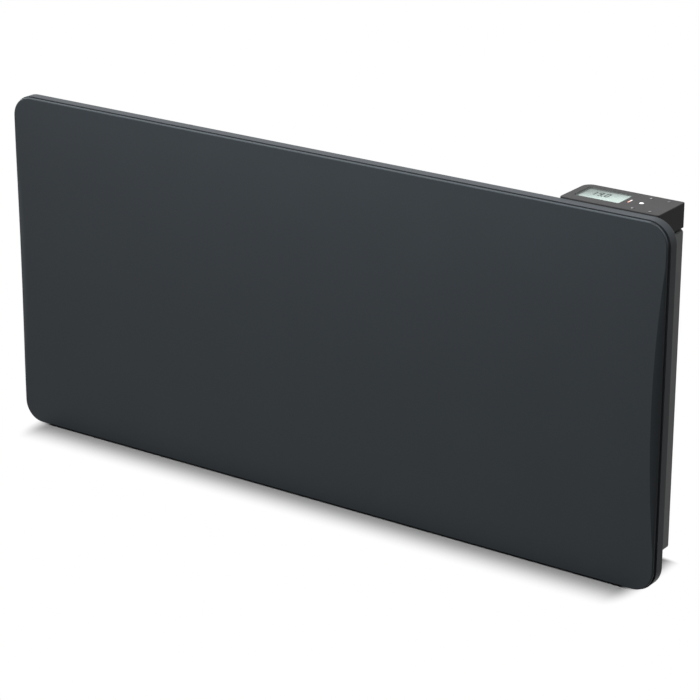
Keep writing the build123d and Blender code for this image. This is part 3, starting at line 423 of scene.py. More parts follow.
def printed_ink(name, colour):
    """Thin printed film with a slightly broken edge."""
    ink = Finish(name, colour)
    patch = ink.noise(0.4)
    return ink.surface(ink.tint(0.9 + patch * 0.2), 0.5 + (patch - 0.5) * 0.1, Specular_IOR_Level=0.03)


def light_guide(box):
    """Clear guide, red at its front left, with a painted white highlight at its back right."""
    guide = Finish("light_plastic")
    # Painted highlight: the guide's colour turns white towards its back right.
    side = (guide.across("X", box) * 0.5 + guide.across("Y", box) * 0.8).ramp(0.6, 0.8)
    tone = guide.mix(side, guide.colour, (0.85, 0.8, 0.78))
    flow = guide.noise(1.5)
    return guide.surface(tone, 0.2 + flow * 0.1, flow, 0.01, 0.4, Coat_Weight=0.5)


def sleeve(name, colour=None, second=None, split_x=0.0):
    """Silicone sleeve with a braided feel. A second colour covers the side beyond split_x."""
    cover = Finish(name, colour)
    weave = cover.noise(0.5)
    tone = cover.tint(0.85 + cover.noise(9) * 0.3)
    if second is not None:
        tone = cover.mix(cover.axis("X") > split_x, tone, second)
    return cover.surface(tone, 0.55 + (weave - 0.5) * 0.1, weave, 0.03)


def moulded_block():
    """Natural polyamide of the terminal block, slightly cloudy."""
    block = Finish("block_plastic")
    cloud = block.noise(4)
    return block.surface(block.tint(0.93 + cloud * 0.1), 0.42 + (cloud - 0.5) * 0.1, cloud, 0.03, 0.4)


def with_values(item, **values):
    """Sets values of an item and hands it back."""
    for name, value in values.items():
        setattr(item, name, value)
    return item


def linked(name, data):
    """New object in the scene that holds a mesh, a light or a camera."""
    thing = bpy.data.objects.new(name, data)
    bpy.context.scene.collection.objects.link(thing)
    return thing


def shaded(mesh):
    """Smooth shading that breaks at sharp edges."""
    for polygon in mesh.polygons:
        polygon.use_smooth = True
    mesh.set_sharp_from_angle(angle=SHARP_ANGLE)
    return mesh


def from_bmesh(name, shape, material=None):
    """Plain mesh object from a bmesh, which is used up."""
    mesh = bpy.data.meshes.new(name)
    shape.to_mesh(mesh)
    shape.free()
    if material is not None:
        mesh.materials.append(material)
    return linked(name, shaded(mesh))


def applied(thing):
    """Turns a modified object into a plain mesh and drops its modifiers."""
    bpy.context.view_layer.update()
    graph = bpy.context.evaluated_depsgraph_get()
    mesh = bpy.data.meshes.new_from_object(thing.evaluated_get(graph), depsgraph=graph)
    old = thing.data
    thing.modifiers.clear()
    thing.data = mesh
    mesh.name = thing.name
    bpy.data.meshes.remove(old)
    return thing


def rounded(thing, width):
    """Rounds the sharp edges of an object and evens its shading."""
    with_values(
        thing.modifiers.new("Round", "BEVEL"), width=width, segments=2, limit_method="ANGLE",
        angle_limit=SHARP_ANGLE, use_clamp_overlap=True, harden_normals=True, miter_outer="MITER_ARC",
    )
    with_values(thing.modifiers.new("Even", "WEIGHTED_NORMAL"), keep_sharp=True)
    return applied(thing)


def finished(thing, body, *nodes, slot=None):
    """Says what a piece rides on and which nodes it stands for. slot is not used."""
    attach(thing, body)
    if nodes:
        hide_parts(*nodes)
    return thing


def node_shape(node):
    """Copy of a node's mesh with its loose triangles joined."""
    shape = bmesh.new()
    shape.from_mesh(frame["nodes"][node].data)
    bmesh.ops.remove_doubles(shape, verts=shape.verts, dist=MERGE_DISTANCE)
    return shape


def merged_copy(node):
    """Copy of a node's mesh with its flats made whole."""
    shape = node_shape(node)
    bmesh.ops.dissolve_limit(shape, angle_limit=FLAT_ANGLE, verts=shape.verts, edges=shape.edges)
    return shape


def piece(name, shape, material, body, *nodes, slot=None, width=None):
    """New piece from a bmesh, with rounded edges where a width is given."""
    thing = from_bmesh(name, shape, material)
    if width:
        rounded(thing, width)
    return finished(thing, body, *nodes, slot=slot)


def dressed(node, name, material, width):
    """Piece that stands for one node: its own shape with rounded edges and a finish."""
    return piece(name, merged_copy(node), material, node_bodies[node], node, width=width)


def measured(node):
    """Both corners of a node's box, its centre and half its width."""
    low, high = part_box(node)
    return low, high, (low + high) / 2, (high.x - low.x) / 2


def finish_node(node, material):
    """Gives a node that stays its material."""
    thing = frame["nodes"][node]
    for place in thing.material_slots:
        place.material = material


def solids_of(node):
    """Boxes of the separate solids of a node, from left to right."""
    shape = node_shape(node)
    left = set(shape.verts)
    boxes = []
    while left:
        found = [left.pop()]
        for vert in found:
            near = {edge.other_vert(vert) for edge in vert.link_edges} & left
            left -= near
            found += near
        spans = list(zip(*(vert.co for vert in found)))
        boxes.append((Vector(map(min, spans)), Vector(map(max, spans))))
    shape.free()
    return sorted(boxes, key=lambda box: (round(box[0].x, 4), round(box[0].z, 4), box[0].y))


def turned(profile, steps, hollow=False):
    """Body turned about Z from (radius, height) points. A hollow one closes from its last to its first."""
    shape = bmesh.new()
    rings = []
    for radius, height in profile:
        angles = [2 * math.pi * index / steps for index in range(steps if radius else 1)]
        rings.append([shape.verts.new((radius * math.cos(a), radius * math.sin(a), height)) for a in angles])
    pairs = list(zip(rings, rings[1:]))
    if hollow:
        pairs.append((rings[-1], rings[0]))
    for ring, following in pairs:
        for index in range(steps):
            around = (ring, 0), (ring, 1), (following, 1), (following, 0)
            face = list(dict.fromkeys(circle[(index + step) % len(circle)] for circle, step in around))
            if len(face) > 2:
                shape.faces.new(face)
    bmesh.ops.recalc_face_normals(shape, faces=shape.faces)
    return shape


def bulge(radius, height, across, up, start=0, end=90, steps=6):
    """Points of an arc about (radius, height), as far across and up as given."""
    angles = [math.radians(start + (end - start) * index / steps) for index in range(steps + 1)]
    return [(radius + across * math.cos(a), height + up * math.sin(a)) for a in angles]


def moved(shape, place):
    shape.transform(Matrix.Translation(place))
    return shape


def rectangle(x, y):
    """Outline between two limits on each axis."""
    return [(x[0], y[0]), (x[1], y[0]), (x[1], y[1]), (x[0], y[1])]


def plate(outline, z_low, z_high):
    """Flat plate with an outline of (x, y) points, as a bmesh."""
    shape = bmesh.new()
    face = shape.faces.new([shape.verts.new((x, y, z_low)) for x, y in outline])
    for item in bmesh.ops.extrude_face_region(shape, geom=[face])["geom"]:
        if isinstance(item, bmesh.types.BMVert):
            item.co.z = z_high
    bmesh.ops.recalc_face_normals(shape, faces=shape.faces)
    return shape


def slab(x, y, z):
    """Box between two limits on each axis, as a bmesh."""
    return plate(rectangle(x, y), *z)


def joined(shapes):
    """One bmesh from several."""
    whole = bmesh.new()
    for shape in shapes:
        mesh = bpy.data.meshes.new("part")
        shape.to_mesh(mesh)
        shape.free()
        whole.from_mesh(mesh)
        bpy.data.meshes.remove(mesh)
    return whole


def copies_tree():
    """Geometry Nodes tree that sets a shape on every point, with the point's own turn and stretch."""
    tree = bpy.data.node_groups.new("Copies on points", "GeometryNodeTree")
    kinds = {"Points": "Geometry", "Shape": "Object", "Size": "Float", "Finish": "Material"}
    for name, kind in kinds.items():
        tree.interface.new_socket(name, in_out="INPUT", socket_type="NodeSocket" + kind)
    tree.interface.new_socket("Copies", in_out="OUTPUT", socket_type="NodeSocketGeometry")
    steps = Steps(tree)
    points, shape, size, finish = [steps.add("NodeGroupInput", output=name) for name in kinds]
    turn, stretch = [
        steps.add("GeometryNodeInputNamedAttribute", {"data_type": "FLOAT_VECTOR"}, {"Name": name})
        for name in ("turn", "stretch")
    ]
    inputs = {
        "Points": points,
        "Instance": steps.add("GeometryNodeObjectInfo", {}, {"Object": shape}, "Geometry"),
        "Rotation": steps.add("FunctionNodeEulerToRotation", {}, {0: turn}),
        "Scale": steps.add("ShaderNodeVectorMath", {"operation": "SCALE"}, {0: stretch, "Scale": size}),
    }
    put = steps.add("GeometryNodeInstanceOnPoints", {}, inputs)
    real = steps.add("GeometryNodeRealizeInstances", {}, {0: put})
    paint = steps.add("GeometryNodeSetMaterial", {}, {"Geometry": real, "Material": finish})
    steps.add("NodeGroupOutput", {}, {0: paint})
    return tree


def copies(name, shape, places, turns, material, stretches=None):
    """Piece made of a shape repeated at places, each with its own turn and stretch."""
    template = from_bmesh(name + "_shape", shape)
    points = bpy.data.meshes.new(name)
    points.from_pydata([tuple(place) for place in places], [], [])
    stretches = stretches or [EVEN] * len(places)
    for label, rows in (("turn", turns), ("stretch", stretches)):
        store = points.attributes.new(label, "FLOAT_VECTOR", "POINT")
        for item, row in zip(store.data, rows):
            item.vector = row
    carrier = linked(name, points)
    repeat = carrier.modifiers.new("Copies", "NODES")
    repeat.node_group = bpy.data.node_groups.get("Copies on points") or copies_tree()
    sockets = repeat.node_group.interface.items_tree
    inputs = {item.name: item.identifier for item in sockets if item.in_out == "INPUT"}
    repeat[inputs["Shape"]] = template
    repeat[inputs["Size"]] = 1.0
    repeat[inputs["Finish"]] = material
    applied(carrier)
    bpy.data.objects.remove(template)
    return carrier


def cut(thing, tool):
    """Takes one closed shape out of another."""
    knife = thing.modifiers.new("Cut", "BOOLEAN")
    with_values(knife, operation="DIFFERENCE", solver="EXACT", object=tool)
    applied(thing)
    bpy.data.objects.remove(tool)
    return thing


def screw_shape(head_radius, head_height, length, pitch):
    """Pan-head screw along Z: its seat lies at 0, its head points up and its thread runs down."""
    crest = head_radius * 0.5
    root = crest * 0.8
    profile = [(0, -length), (root * 0.4, -length + 0.1 * pitch)]
    for index in range(int((length - pitch) / pitch)):
        low = -length + pitch * (index + 0.5)
        thread = (root, 0), (crest, 0.4), (crest, 0.5), (root, 0.9)
        profile += [(radius, low + pitch * part) for radius, part in thread]
    profile += [(root, -pitch * 0.3), (root, 0), (head_radius * 0.97, 0), (head_radius, head_height * 0.08)]
    profile += bulge(head_radius * 0.62, head_height * 0.42, head_radius * 0.38, head_height * 0.5)
    profile += [(head_radius * 0.3, head_height), (0, head_height)]
    screw = from_bmesh("screw", turned(profile, 24))
    half, arm = head_radius * 0.5, head_radius * 0.12
    low, top = head_height * 0.35, head_height * 1.2
    slots = [
        slab((-half, half), (-arm, arm), (low, top)),
        slab((-arm, arm), (-half, half), (low * 1.01, top * 1.01)),
    ]
    cut(screw, from_bmesh("recess", joined(slots)))
    shape = bmesh.new()
    shape.from_mesh(screw.data)
    bpy.data.objects.remove(screw)
    return shape


def seats(node, towards, head_height=0.0):
    """Radius and length under the head of a node's equal solids, and the seat and the turn of each.

    towards is the direction in which their heads point.
    """
    degrees, axis, corner = {"back": (-90, 1, 1), "front": (90, 1, 0), "down": (180, 2, 0)}[towards]
    boxes = solids_of(node)
    low, high = boxes[0]
    places = []
    for box in boxes:
        seat = (box[0] + box[1]) / 2
        seat[axis] = box[corner][axis] + (-head_height if corner else head_height)
        places.append(seat)
    turns = [(math.radians(degrees), 0, 0)] * len(places)
    return (high.x - low.x) / 2, high[axis] - low[axis] - head_height, places, turns


def chosen(context):
    """Colours and sizes that the panel shows."""
    return context.scene.radiator_colours, context.scene.radiator_sizes


class RADIATOR_OT_front(bpy.types.Operator):
    """Front panel with its gasket and studs"""

    bl_idname = "radiator.front"
    bl_label = "Front panel"

    def execute(self, context):
        colours, sizes = chosen(context)
        # The panel's right bevel is painted half as dark: painted shade.
        coat = powder_coat("panel_paint", colours.panel, gloss=0.1, bevel_painted_shade=0.5)
        dressed("front_panel", "front_panel_skin", coat, sizes.sheet_round)
        dressed("panel_gasket", "shadow_gasket", moulded_rubber("gasket_rubber", 0.5), sizes.sheet_round)
        finish_node("panel_studs", plated_steel("stud_steel"))
        return {"FINISHED"}


class RADIATOR_OT_frame(bpy.types.Operator):
    """Front frame: the shallow tray behind the panel"""

    bl_idname = "radiator.frame"
    bl_label = "Front frame"

    def execute(self, context):
        colours, sizes = chosen(context)
        coat = powder_coat("frame_paint", colours.frame, 0.42, gloss=0.05)
        dressed("front_frame", "front_frame_tray", coat, sizes.sheet_round)
        return {"FINISHED"}


class RADIATOR_OT_casing(bpy.types.Operator):
    """Rear casing with its air slots"""

    bl_idname = "radiator.casing"
    bl_label = "Rear casing"

    def execute(self, context):
        colours, sizes = chosen(context)
        coat = powder_coat("casing_paint", colours.casing, 0.5, 1.5, 0.28)
        dressed("rear_casing", "rear_casing_shell", coat, sizes.fine_round)
        return {"FINISHED"}


class RADIATOR_OT_screws(bpy.types.Operator):
    """Screws of panel, frame, casing and control box"""

    bl_idname = "radiator.screws"
    bl_label = "Screws"

    def execute(self, context):
        pitch = context.scene.radiator_sizes.thread_pitch
        steel = plated_steel("screw_steel", 0.4)
        large, small = 2.4 * MM, 1.6 * MM
        directions = {"panel": "back", "casing": "back", "frame": "front", "control": "down"}
        for group, towards in directions.items():
            node, head = group + "_screws", small if group == "control" else large
            radius, length, places, turns = seats(node, towards, head)
            shape = screw_shape(radius, head, length, pitch)
            finished(copies(group + "_screw_set", shape, places, turns, steel), "root", node)
        return {"FINISHED"}


class RADIATOR_OT_core(bpy.types.Operator):
    """Heat store: bricks, element, shelf, straps, reflector and insulation"""

    bl_idname = "radiator.core"
    bl_label = "Heat store"

    def execute(self, context):
        colours, sizes = chosen(context)
        brick = fired_brick(colours.ceramic)
        for layer in ("front", "rear"):
            for index in range(1, 5):
                node = f"core_brick_{layer}_{index}"
                dressed(node, node + "_fired", brick, 2 * sizes.sheet_round)
        finish_node("heating_element", heat_tinted_tube())
        dressed("element_bushes", "element_end_bushes", steatite(), sizes.mould_round)
        finish_node("element_terminals", plated_steel("terminal_steel", 0.28))
        zinc = spangled_zinc()
        straps = ["core_strap_" + place for place in ("left", "middle", "right")]
        for node in ("core_shelf", *straps, "cutout_bracket"):
            dressed(node, node + "_sheet", zinc, sizes.fine_round)
        dressed("reflector_tray", "reflector_tray_sheet", rolled_aluminium(), sizes.fine_round)
        dressed("insulation_board", "insulation_board_mat", fibre_board(), 3 * sizes.sheet_round)
        phenolic = grained_plastic("cutout_phenolic", roughness=0.4)
        dressed("thermal_cutout", "thermal_cutout_switch", phenolic, sizes.fine_round)
        finish_node("core_sensor", plated_steel("sensor_steel", 0.25))
        return {"FINISHED"}


class RADIATOR_OT_control_box(bpy.types.Operator):
    """Control box: housing, base and the boards inside"""

    bl_idname = "radiator.control_box"
    bl_label = "Control box"

    def execute(self, context):
        colours, sizes = chosen(context)
        housing = grained_plastic("housing_plastic", colours.housing, 0.6, gloss=0.07)
        board = circuit_board()
        parts = gloss_plastic("part_plastic", roughness=0.3)
        for node, name, material, width in (
            ("control_housing", "control_housing_shell", housing, sizes.mould_round),
            ("control_base", "control_base_plate", grained_plastic("base_plastic"), sizes.fine_round),
            ("display_board", "display_board_laminate", board, sizes.fine_round),
            ("power_board", "power_board_laminate", board, sizes.fine_round),
            ("power_parts", "power_board_parts", parts, sizes.mould_round),
            ("tact_switches", "tact_switch_set", grained_plastic("tact_plastic"), sizes.fine_round),
            ("terminal_block", "terminal_block_moulding", moulded_block(), sizes.mould_round),
        ):
            dressed(node, name, material, width)
        return {"FINISHED"}


def segment_shape(thickness):
    """One display segment of unit length and width, pointed at both ends."""
    return plate([(-0.5, 0), (-0.42, -0.5), (0.42, -0.5), (0.5, 0), (0.42, 0.5), (-0.42, 0.5)], 0, thickness)


LIT_SEGMENTS = {"1": "bc", "9": "abcdfg", "0": "abcdef"}


def digit_rows(text, left, middle, z, height, stroke):
    """Places, turns and stretches of the segments of a row of digits."""
    width = height * 0.44 - stroke
    pitch = height * 0.66
    half = (height - stroke) / 4
    spots = {"a": (0, 2), "g": (0, 0), "d": (0, -2), "f": (-1, 1), "b": (1, 1), "e": (-1, -1), "c": (1, -1)}
    places, turns, stretches = [], [], []
    for index, digit in enumerate(text):
        centre = left + (width + stroke) / 2 + pitch * index
        for label in LIT_SEGMENTS[digit]:
            column, row = spots[label]
            upright = column != 0
            places.append((centre + column * width / 2, middle + row * half, z))
            turns.append((0, 0, math.radians(90) if upright else 0))
            stretches.append((2 * half if upright else width, stroke, 1))
    return places, turns, stretches


class RADIATOR_OT_display(bpy.types.Operator):
    """Display: holder, ground, digits and window"""

    bl_idname = "radiator.display"
    bl_label = "Display"

    def execute(self, context):
        colours, sizes = chosen(context)
        holder = grained_plastic("display_holder", slot_colours["base_plastic"], 0.5)
        dressed("display_module", "display_holder_frame", holder, sizes.fine_round)
        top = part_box("display_module")[1].z
        window_low, window_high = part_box("display_window")
        inset, sunk = Vector((2.15 * MM, 2.15 * MM, 0.2 * MM)), 0.5 * MM
        low, high = window_low + inset, window_high - inset
        low.z, high.z = top - sunk, window_low.z - inset.z
        shape, ground = slab(*zip(low, high)), display_ground(colours.display, (low, high))
        piece("display_ground", shape, ground, "root", slot="display_face", width=sizes.fine_round)
        height, stroke = sizes.digit_height, sizes.digit_stroke
        margin, lift, to_point = 8.8 * MM, 4 * MM, height * 1.21
        left, middle = low.x + margin, (low.y + high.y) / 2 + lift
        places, turns, stretches = digit_rows("190", left, middle, high.z, height, stroke)
        places.append((left + to_point, middle - height / 2, high.z))
        turns.append((0, 0, 0))
        stretches.append((stroke, stroke, 1))
        ink = printed_ink("display_ink", colours.display_ink)
        digits = copies("display_digits", segment_shape(sizes.ink_depth), places, turns, ink, stretches)
        finished(digits, "root", slot="display_face")
        dressed("display_window", "display_window_pane", window_glass(), sizes.mould_round)
        return {"FINISHED"}


def key_shape(node, dish):
    """Key with a flange, a stem and a shallow dish in its top, in the place of its node."""
    low, high, centre, flange = measured(node)
    cap = flange - 0.7 * MM
    stem, chamfer, edge = 1.6 * MM, 0.1 * MM, 0.3 * MM
    base = low.z + 1.4 * MM
    top = base + 1.4 * MM
    profile = [(0, low.z), (stem * 0.9, low.z), (stem, low.z + chamfer), (stem, base)]
    profile += [(flange - chamfer, base), (flange, base + chamfer)]
    profile += [(flange, top - chamfer), (flange - chamfer, top), (cap, top)]
    profile += bulge(cap - edge, high.z - edge, edge, edge)
    rim, rings = cap - 1.6 * edge, 6
    for index in range(rings):
        outward = 1 - (index + 1) / rings
        profile.append((rim * outward, high.z - dish * (1 - outward**2)))
    return moved(turned(profile, 48), (centre.x, centre.y, 0))


def arc_band(radius, width, start, end):
    """Flat curved band as a closed outline."""
    outer, inner = [bulge(0, 0, r, r, start, end, 24) for r in (radius + width / 2, radius - width / 2)]
    return outer + inner[::-1]


def mark_outlines(size):
    """Outlines of the signs on the dark keys."""
    stroke = size * 0.18
    arrow = [(-size / 2, -size * 0.3), (size / 2, -size * 0.3), (0, size * 0.5)]
    down = [(x, -y) for x, y in reversed(arrow)]
    post = rectangle((-stroke / 2, stroke / 2), (0, size * 0.55))
    lefts = [column * size * 0.32 - stroke / 2 for column in (-1, 0, 1)]
    bars = [rectangle((left, left + stroke), (-size * 0.45, size * 0.45)) for left in lefts]
    return {
        "key_up": [arrow],
        "key_down": [down],
        "key_power": [arc_band(size * 0.42, stroke, 120, 420), post],
        "key_mode": bars,
    }


class RADIATOR_OT_keys(bpy.types.Operator):
    """Five keys with their marks"""

    bl_idname = "radiator.keys"
    bl_label = "Keys"

    def execute(self, context):
        colours, sizes = chosen(context)
        dark = grained_plastic("key_plastic", colours.keys, 0.55, 0.3, 0.01, 0.07)
        white = gloss_plastic("select_key_plastic", colours.select_key, 0.22)
        ink = printed_ink("mark_ink", colours.mark_ink)
        outlines = mark_outlines(sizes.mark_size)
        for node in ("key_up", "key_down", "key_select", "key_power", "key_mode"):
            material = white if node == "key_select" else dark
            piece(node + "_cap", key_shape(node, sizes.key_dish), material, node, node)
            if node not in outlines:
                continue
            high, centre = measured(node)[1:3]
            floor = high.z - sizes.key_dish
            limits = floor - sizes.ink_depth, floor + 2 * sizes.ink_depth
            signs = [plate(outline, *limits) for outline in outlines[node]]
            shape = moved(joined(signs), (centre.x, centre.y, 0))
            piece(node + "_mark", shape, ink, node, slot="key_plastic")
        return {"FINISHED"}


class RADIATOR_OT_status_light(bpy.types.Operator):
    """Status light beside the display"""

    bl_idname = "radiator.status_light"
    bl_label = "Status light"

    def execute(self, context):
        guide = light_guide(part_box("status_light"))
        dressed("status_light", "status_light_guide", guide, context.scene.radiator_sizes.mould_round)
        return {"FINISHED"}


def largest_faces(node, towards, count):
    """Centres and normals of the largest faces of a node that look a certain way."""
    shape = merged_copy(node)
    shape.normal_update()
    seen = [face for face in shape.faces if face.normal.dot(towards) > 0.9]
    seen.sort(key=lambda face: face.calc_area(), reverse=True)
    found = [(face.calc_center_median(), face.normal.copy()) for face in seen[:count]]
    shape.free()
    return sorted(found, key=lambda pair: pair[0].y)


def laid(shape, centre, normal):
    """Lays a flat shape on a face, with its own Y axis pointing up."""
    across = Vector((0, 0, 1)).cross(normal).normalized()
    turn = Matrix((across, normal.cross(across), normal)).transposed().to_4x4()
    shape.transform(Matrix.Translation(centre) @ turn)
    return shape


class RADIATOR_OT_switch(bpy.types.Operator):
    """Mains rocker switch with its on and off marks"""

    bl_idname = "radiator.switch"
    bl_label = "Mains switch"

    def execute(self, context):
        sizes = context.scene.radiator_sizes
        black = gloss_plastic("switch_plastic")
        dressed("switch_body", "switch_body_moulding", black, sizes.mould_round)
        dressed("switch_rocker", "switch_rocker_moulding", black, sizes.fine_round)
        ink = printed_ink("rocker_ink", (0.75, 0.75, 0.75))
        size, stroke = 1.3 * MM, 0.4 * MM
        bar = rectangle((-stroke / 2, stroke / 2), (-size, size))
        halves = [arc_band(size, stroke, start, start + 180) for start in (0, 180)]
        places = largest_faces("switch_rocker", Vector((-1, 0, 0)), 2)
        marks = (("rocker_on_mark", [bar]), ("rocker_off_mark", halves))
        for (name, outlines), place in zip(marks, places):
            signs = [plate(outline, -sizes.ink_depth, sizes.ink_depth / 5) for outline in outlines]
            piece(name, laid(joined(signs), *place), ink, "switch_rocker", slot="switch_plastic")
        return {"FINISHED"}


class RADIATOR_OT_gland(bpy.types.Operator):
    """Cable gland and its nut"""

    bl_idname = "radiator.gland"
    bl_label = "Cable gland"

    def execute(self, context):
        sizes = context.scene.radiator_sizes
        plastic = grained_plastic("gland_plastic", roughness=0.5)
        low, high, centre, radius = measured("cable_gland")
        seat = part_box("rear_casing")[0].z
        thread, bore, pitch = 8 * MM, 3.75 * MM, sizes.gland_pitch
        profile = [(bore, low.z + 0.6 * MM), (bore + 0.6 * MM, low.z), (radius - 2.6 * MM, low.z)]
        profile += bulge(radius - 2.5 * MM, low.z + 2 * MM, 2 * MM, 2 * MM, -90, 0)
        profile += [(radius - 0.5 * MM, seat - 1.5 * MM), (radius, seat - 1.4 * MM)]
        profile += [(radius, seat), (thread, seat)]
        for index in range(int((high.z - seat) / pitch) - 1):
            start = seat + pitch * (index + 1)
            for inward, part in ((0, 0), (0.55 * MM, 0.35), (0.55 * MM, 0.5), (0, 0.85)):
                profile.append((thread - inward, start + pitch * part))
        profile += [(thread, high.z - 0.5 * MM), (thread - 0.5 * MM, high.z), (bore, high.z)]
        place = (centre.x, centre.y, 0)
        piece("cable_gland_body", moved(turned(profile, 72, True), place), plastic, "root", "cable_gland")
        reach = radius - 0.9 * MM, radius - 0.02 * MM
        rib = slab(reach, (-0.6 * MM, 0.6 * MM), (low.z + 2.2 * MM, seat - 1.2 * MM))
        turns = [(0, 0, 2 * math.pi * index / sizes.gland_ribs) for index in range(sizes.gland_ribs)]
        ribs = copies("cable_gland_ribs", rib, [place] * len(turns), turns, plastic)
        finished(rounded(ribs, sizes.fine_round), "root", slot="gland_plastic")
        dressed("gland_nut", "gland_lock_nut", plastic, sizes.mould_round)
        return {"FINISHED"}


class RADIATOR_OT_leads(bpy.types.Operator):
    """Leads inside the casing"""

    bl_idname = "radiator.leads"
    bl_label = "Inner leads"

    def execute(self, context):
        brown = sleeve("lead_brown")
        finish_node("lead_cutout_feed", brown)
        finish_node("lead_element_live", brown)
        finish_node("lead_element_neutral", sleeve("lead_blue"))
        middle = measured("lead_earth")[2].x
        finish_node("lead_earth", sleeve("lead_green_yellow", (0.05, 0.3, 0.06), (0.75, 0.6, 0.04), middle))
        finish_node("lead_sensor", sleeve("lead_black"))
        return {"FINISHED"}


class RADIATOR_OT_bracket(bpy.types.Operator):
    """Wall bracket: rails, crossbar and rivets"""

    bl_idname = "radiator.bracket"
    bl_label = "Wall bracket"

    def execute(self, context):
        colours, sizes = chosen(context)
        coat = powder_coat("bracket_steel", colours.bracket, 0.5, 1.4)
        for node in ("bracket_rail_left", "bracket_rail_right", "bracket_crossbar"):
            dressed(node, node + "_sheet", coat, sizes.sheet_round)
        steel = plated_steel("rivet_steel", 0.35, slot_colours["stud_steel"])
        head = 1.2 * MM
        radius, length, places, turns = seats("bracket_rivets", "front", head)
        neck = radius * 0.56
        profile = [(0, -length), (radius * 0.5, -length), (neck, 0.1 * MM - length)]
        profile += [(neck, 0), (radius * 0.98, 0)]
        profile += bulge(0, head * 0.15, radius, head * 0.85, 0, 80, 8)
        profile += [(radius * 0.12, head), (radius * 0.1, head * 0.8), (0, head * 0.75)]
        rivets = copies("bracket_rivet_set", turned(profile, 32), places, turns, steel)
        finished(rivets, "root", "bracket_rivets")
        return {"FINISHED"}


class RADIATOR_OT_latches(bpy.types.Operator):
    """Quarter-turn latches on the bracket"""

    bl_idname = "radiator.latches"
    bl_label = "Latches"

    def execute(self, context):
        sizes = context.scene.radiator_sizes
        plastic = grained_plastic("latch_plastic", roughness=0.5)
        ribbed, groove_radius, groove_length = 130, 0.5 * MM, 6 * MM
        angles = [360 * (index + 0.5) / sizes.latch_ribs - 180 for index in range(sizes.latch_ribs)]
        turns = [(0, 0, math.radians(angle)) for angle in angles if abs(angle) < ribbed]
        for node in ("bracket_latch_left", "bracket_latch_right"):
            high, centre, radius = measured(node)[1:]
            latch = from_bmesh(node + "_moulding", merged_copy(node), plastic)
            groove = turned(rectangle((0, groove_radius), (high.z - groove_length, high.z + MM)), 12)
            moved(groove, (0, radius + 0.15 * MM, 0))
            places = [(centre.x, high.y - radius, 0)] * len(turns)
            cut(latch, copies(node + "_grooves", groove, places, turns, plastic))
            finished(rounded(latch, sizes.fine_round), node_bodies[node], node)
        return {"FINISHED"}


class RADIATOR_OT_buffers(bpy.types.Operator):
    """Rubber buffers between casing and wall"""

    bl_idname = "radiator.buffers"
    bl_label = "Buffers"

    def execute(self, context):
        radius, length, places, turns = seats("wall_buffers", "back")
        profile = [(0, -length), (radius * 0.9, -length), (radius, 0.1 * radius - length)]
        grooves = [
            (part, 0.18 * index - 0.75 + rise)
            for index in range(3)
            for part, rise in ((1, 0), (0.93, 0.04), (0.93, 0.07), (1, 0.11))
        ]
        tip = [(1, -0.12), (0.93, -0.04), (0.8, 0), (0.4, 0), (0.36, -0.03), (0.36, -0.4), (0, -0.4)]
        profile += [(radius * part, length * rise) for part, rise in grooves + tip]
        rubber = moulded_rubber("buffer_rubber")
        buffers = copies("wall_buffer_set", turned(profile, 48), places, turns, rubber)
        finished(buffers, "root", "wall_buffers")
        return {"FINISHED"}


def lamp(name, place, target, width, height, power):
    """Soft rectangular lamp that points at a target."""
    light = bpy.data.lights.new(name, "AREA")
    with_values(light, shape="RECTANGLE", size=width, size_y=height, energy=power)
    turn = (Vector(target) - Vector(place)).to_track_quat("-Z", "Y").to_euler()
    with_values(linked(name, light), location=place, rotation_euler=turn)


def sun(name, azimuth, elevation, strength):
    """Distant light: azimuth is counted from straight in front to the left."""
    light = with_values(bpy.data.lights.new(name, "SUN"), energy=strength, angle=math.radians(15))
    linked(name, light).rotation_euler = (math.pi / 2 - elevation, 0, -azimuth)


def background_rays(steps):
    """1 for rays that show the background: from the camera, by reflection or through glass."""
    kinds = ("Is Camera Ray", "Is Glossy Ray", "Is Transmission Ray")
    camera, glossy, through = [steps.add("ShaderNodeLightPath", output=kind) for kind in kinds]
    return steps.maths("ADD", camera + glossy, through, use_clamp=True)


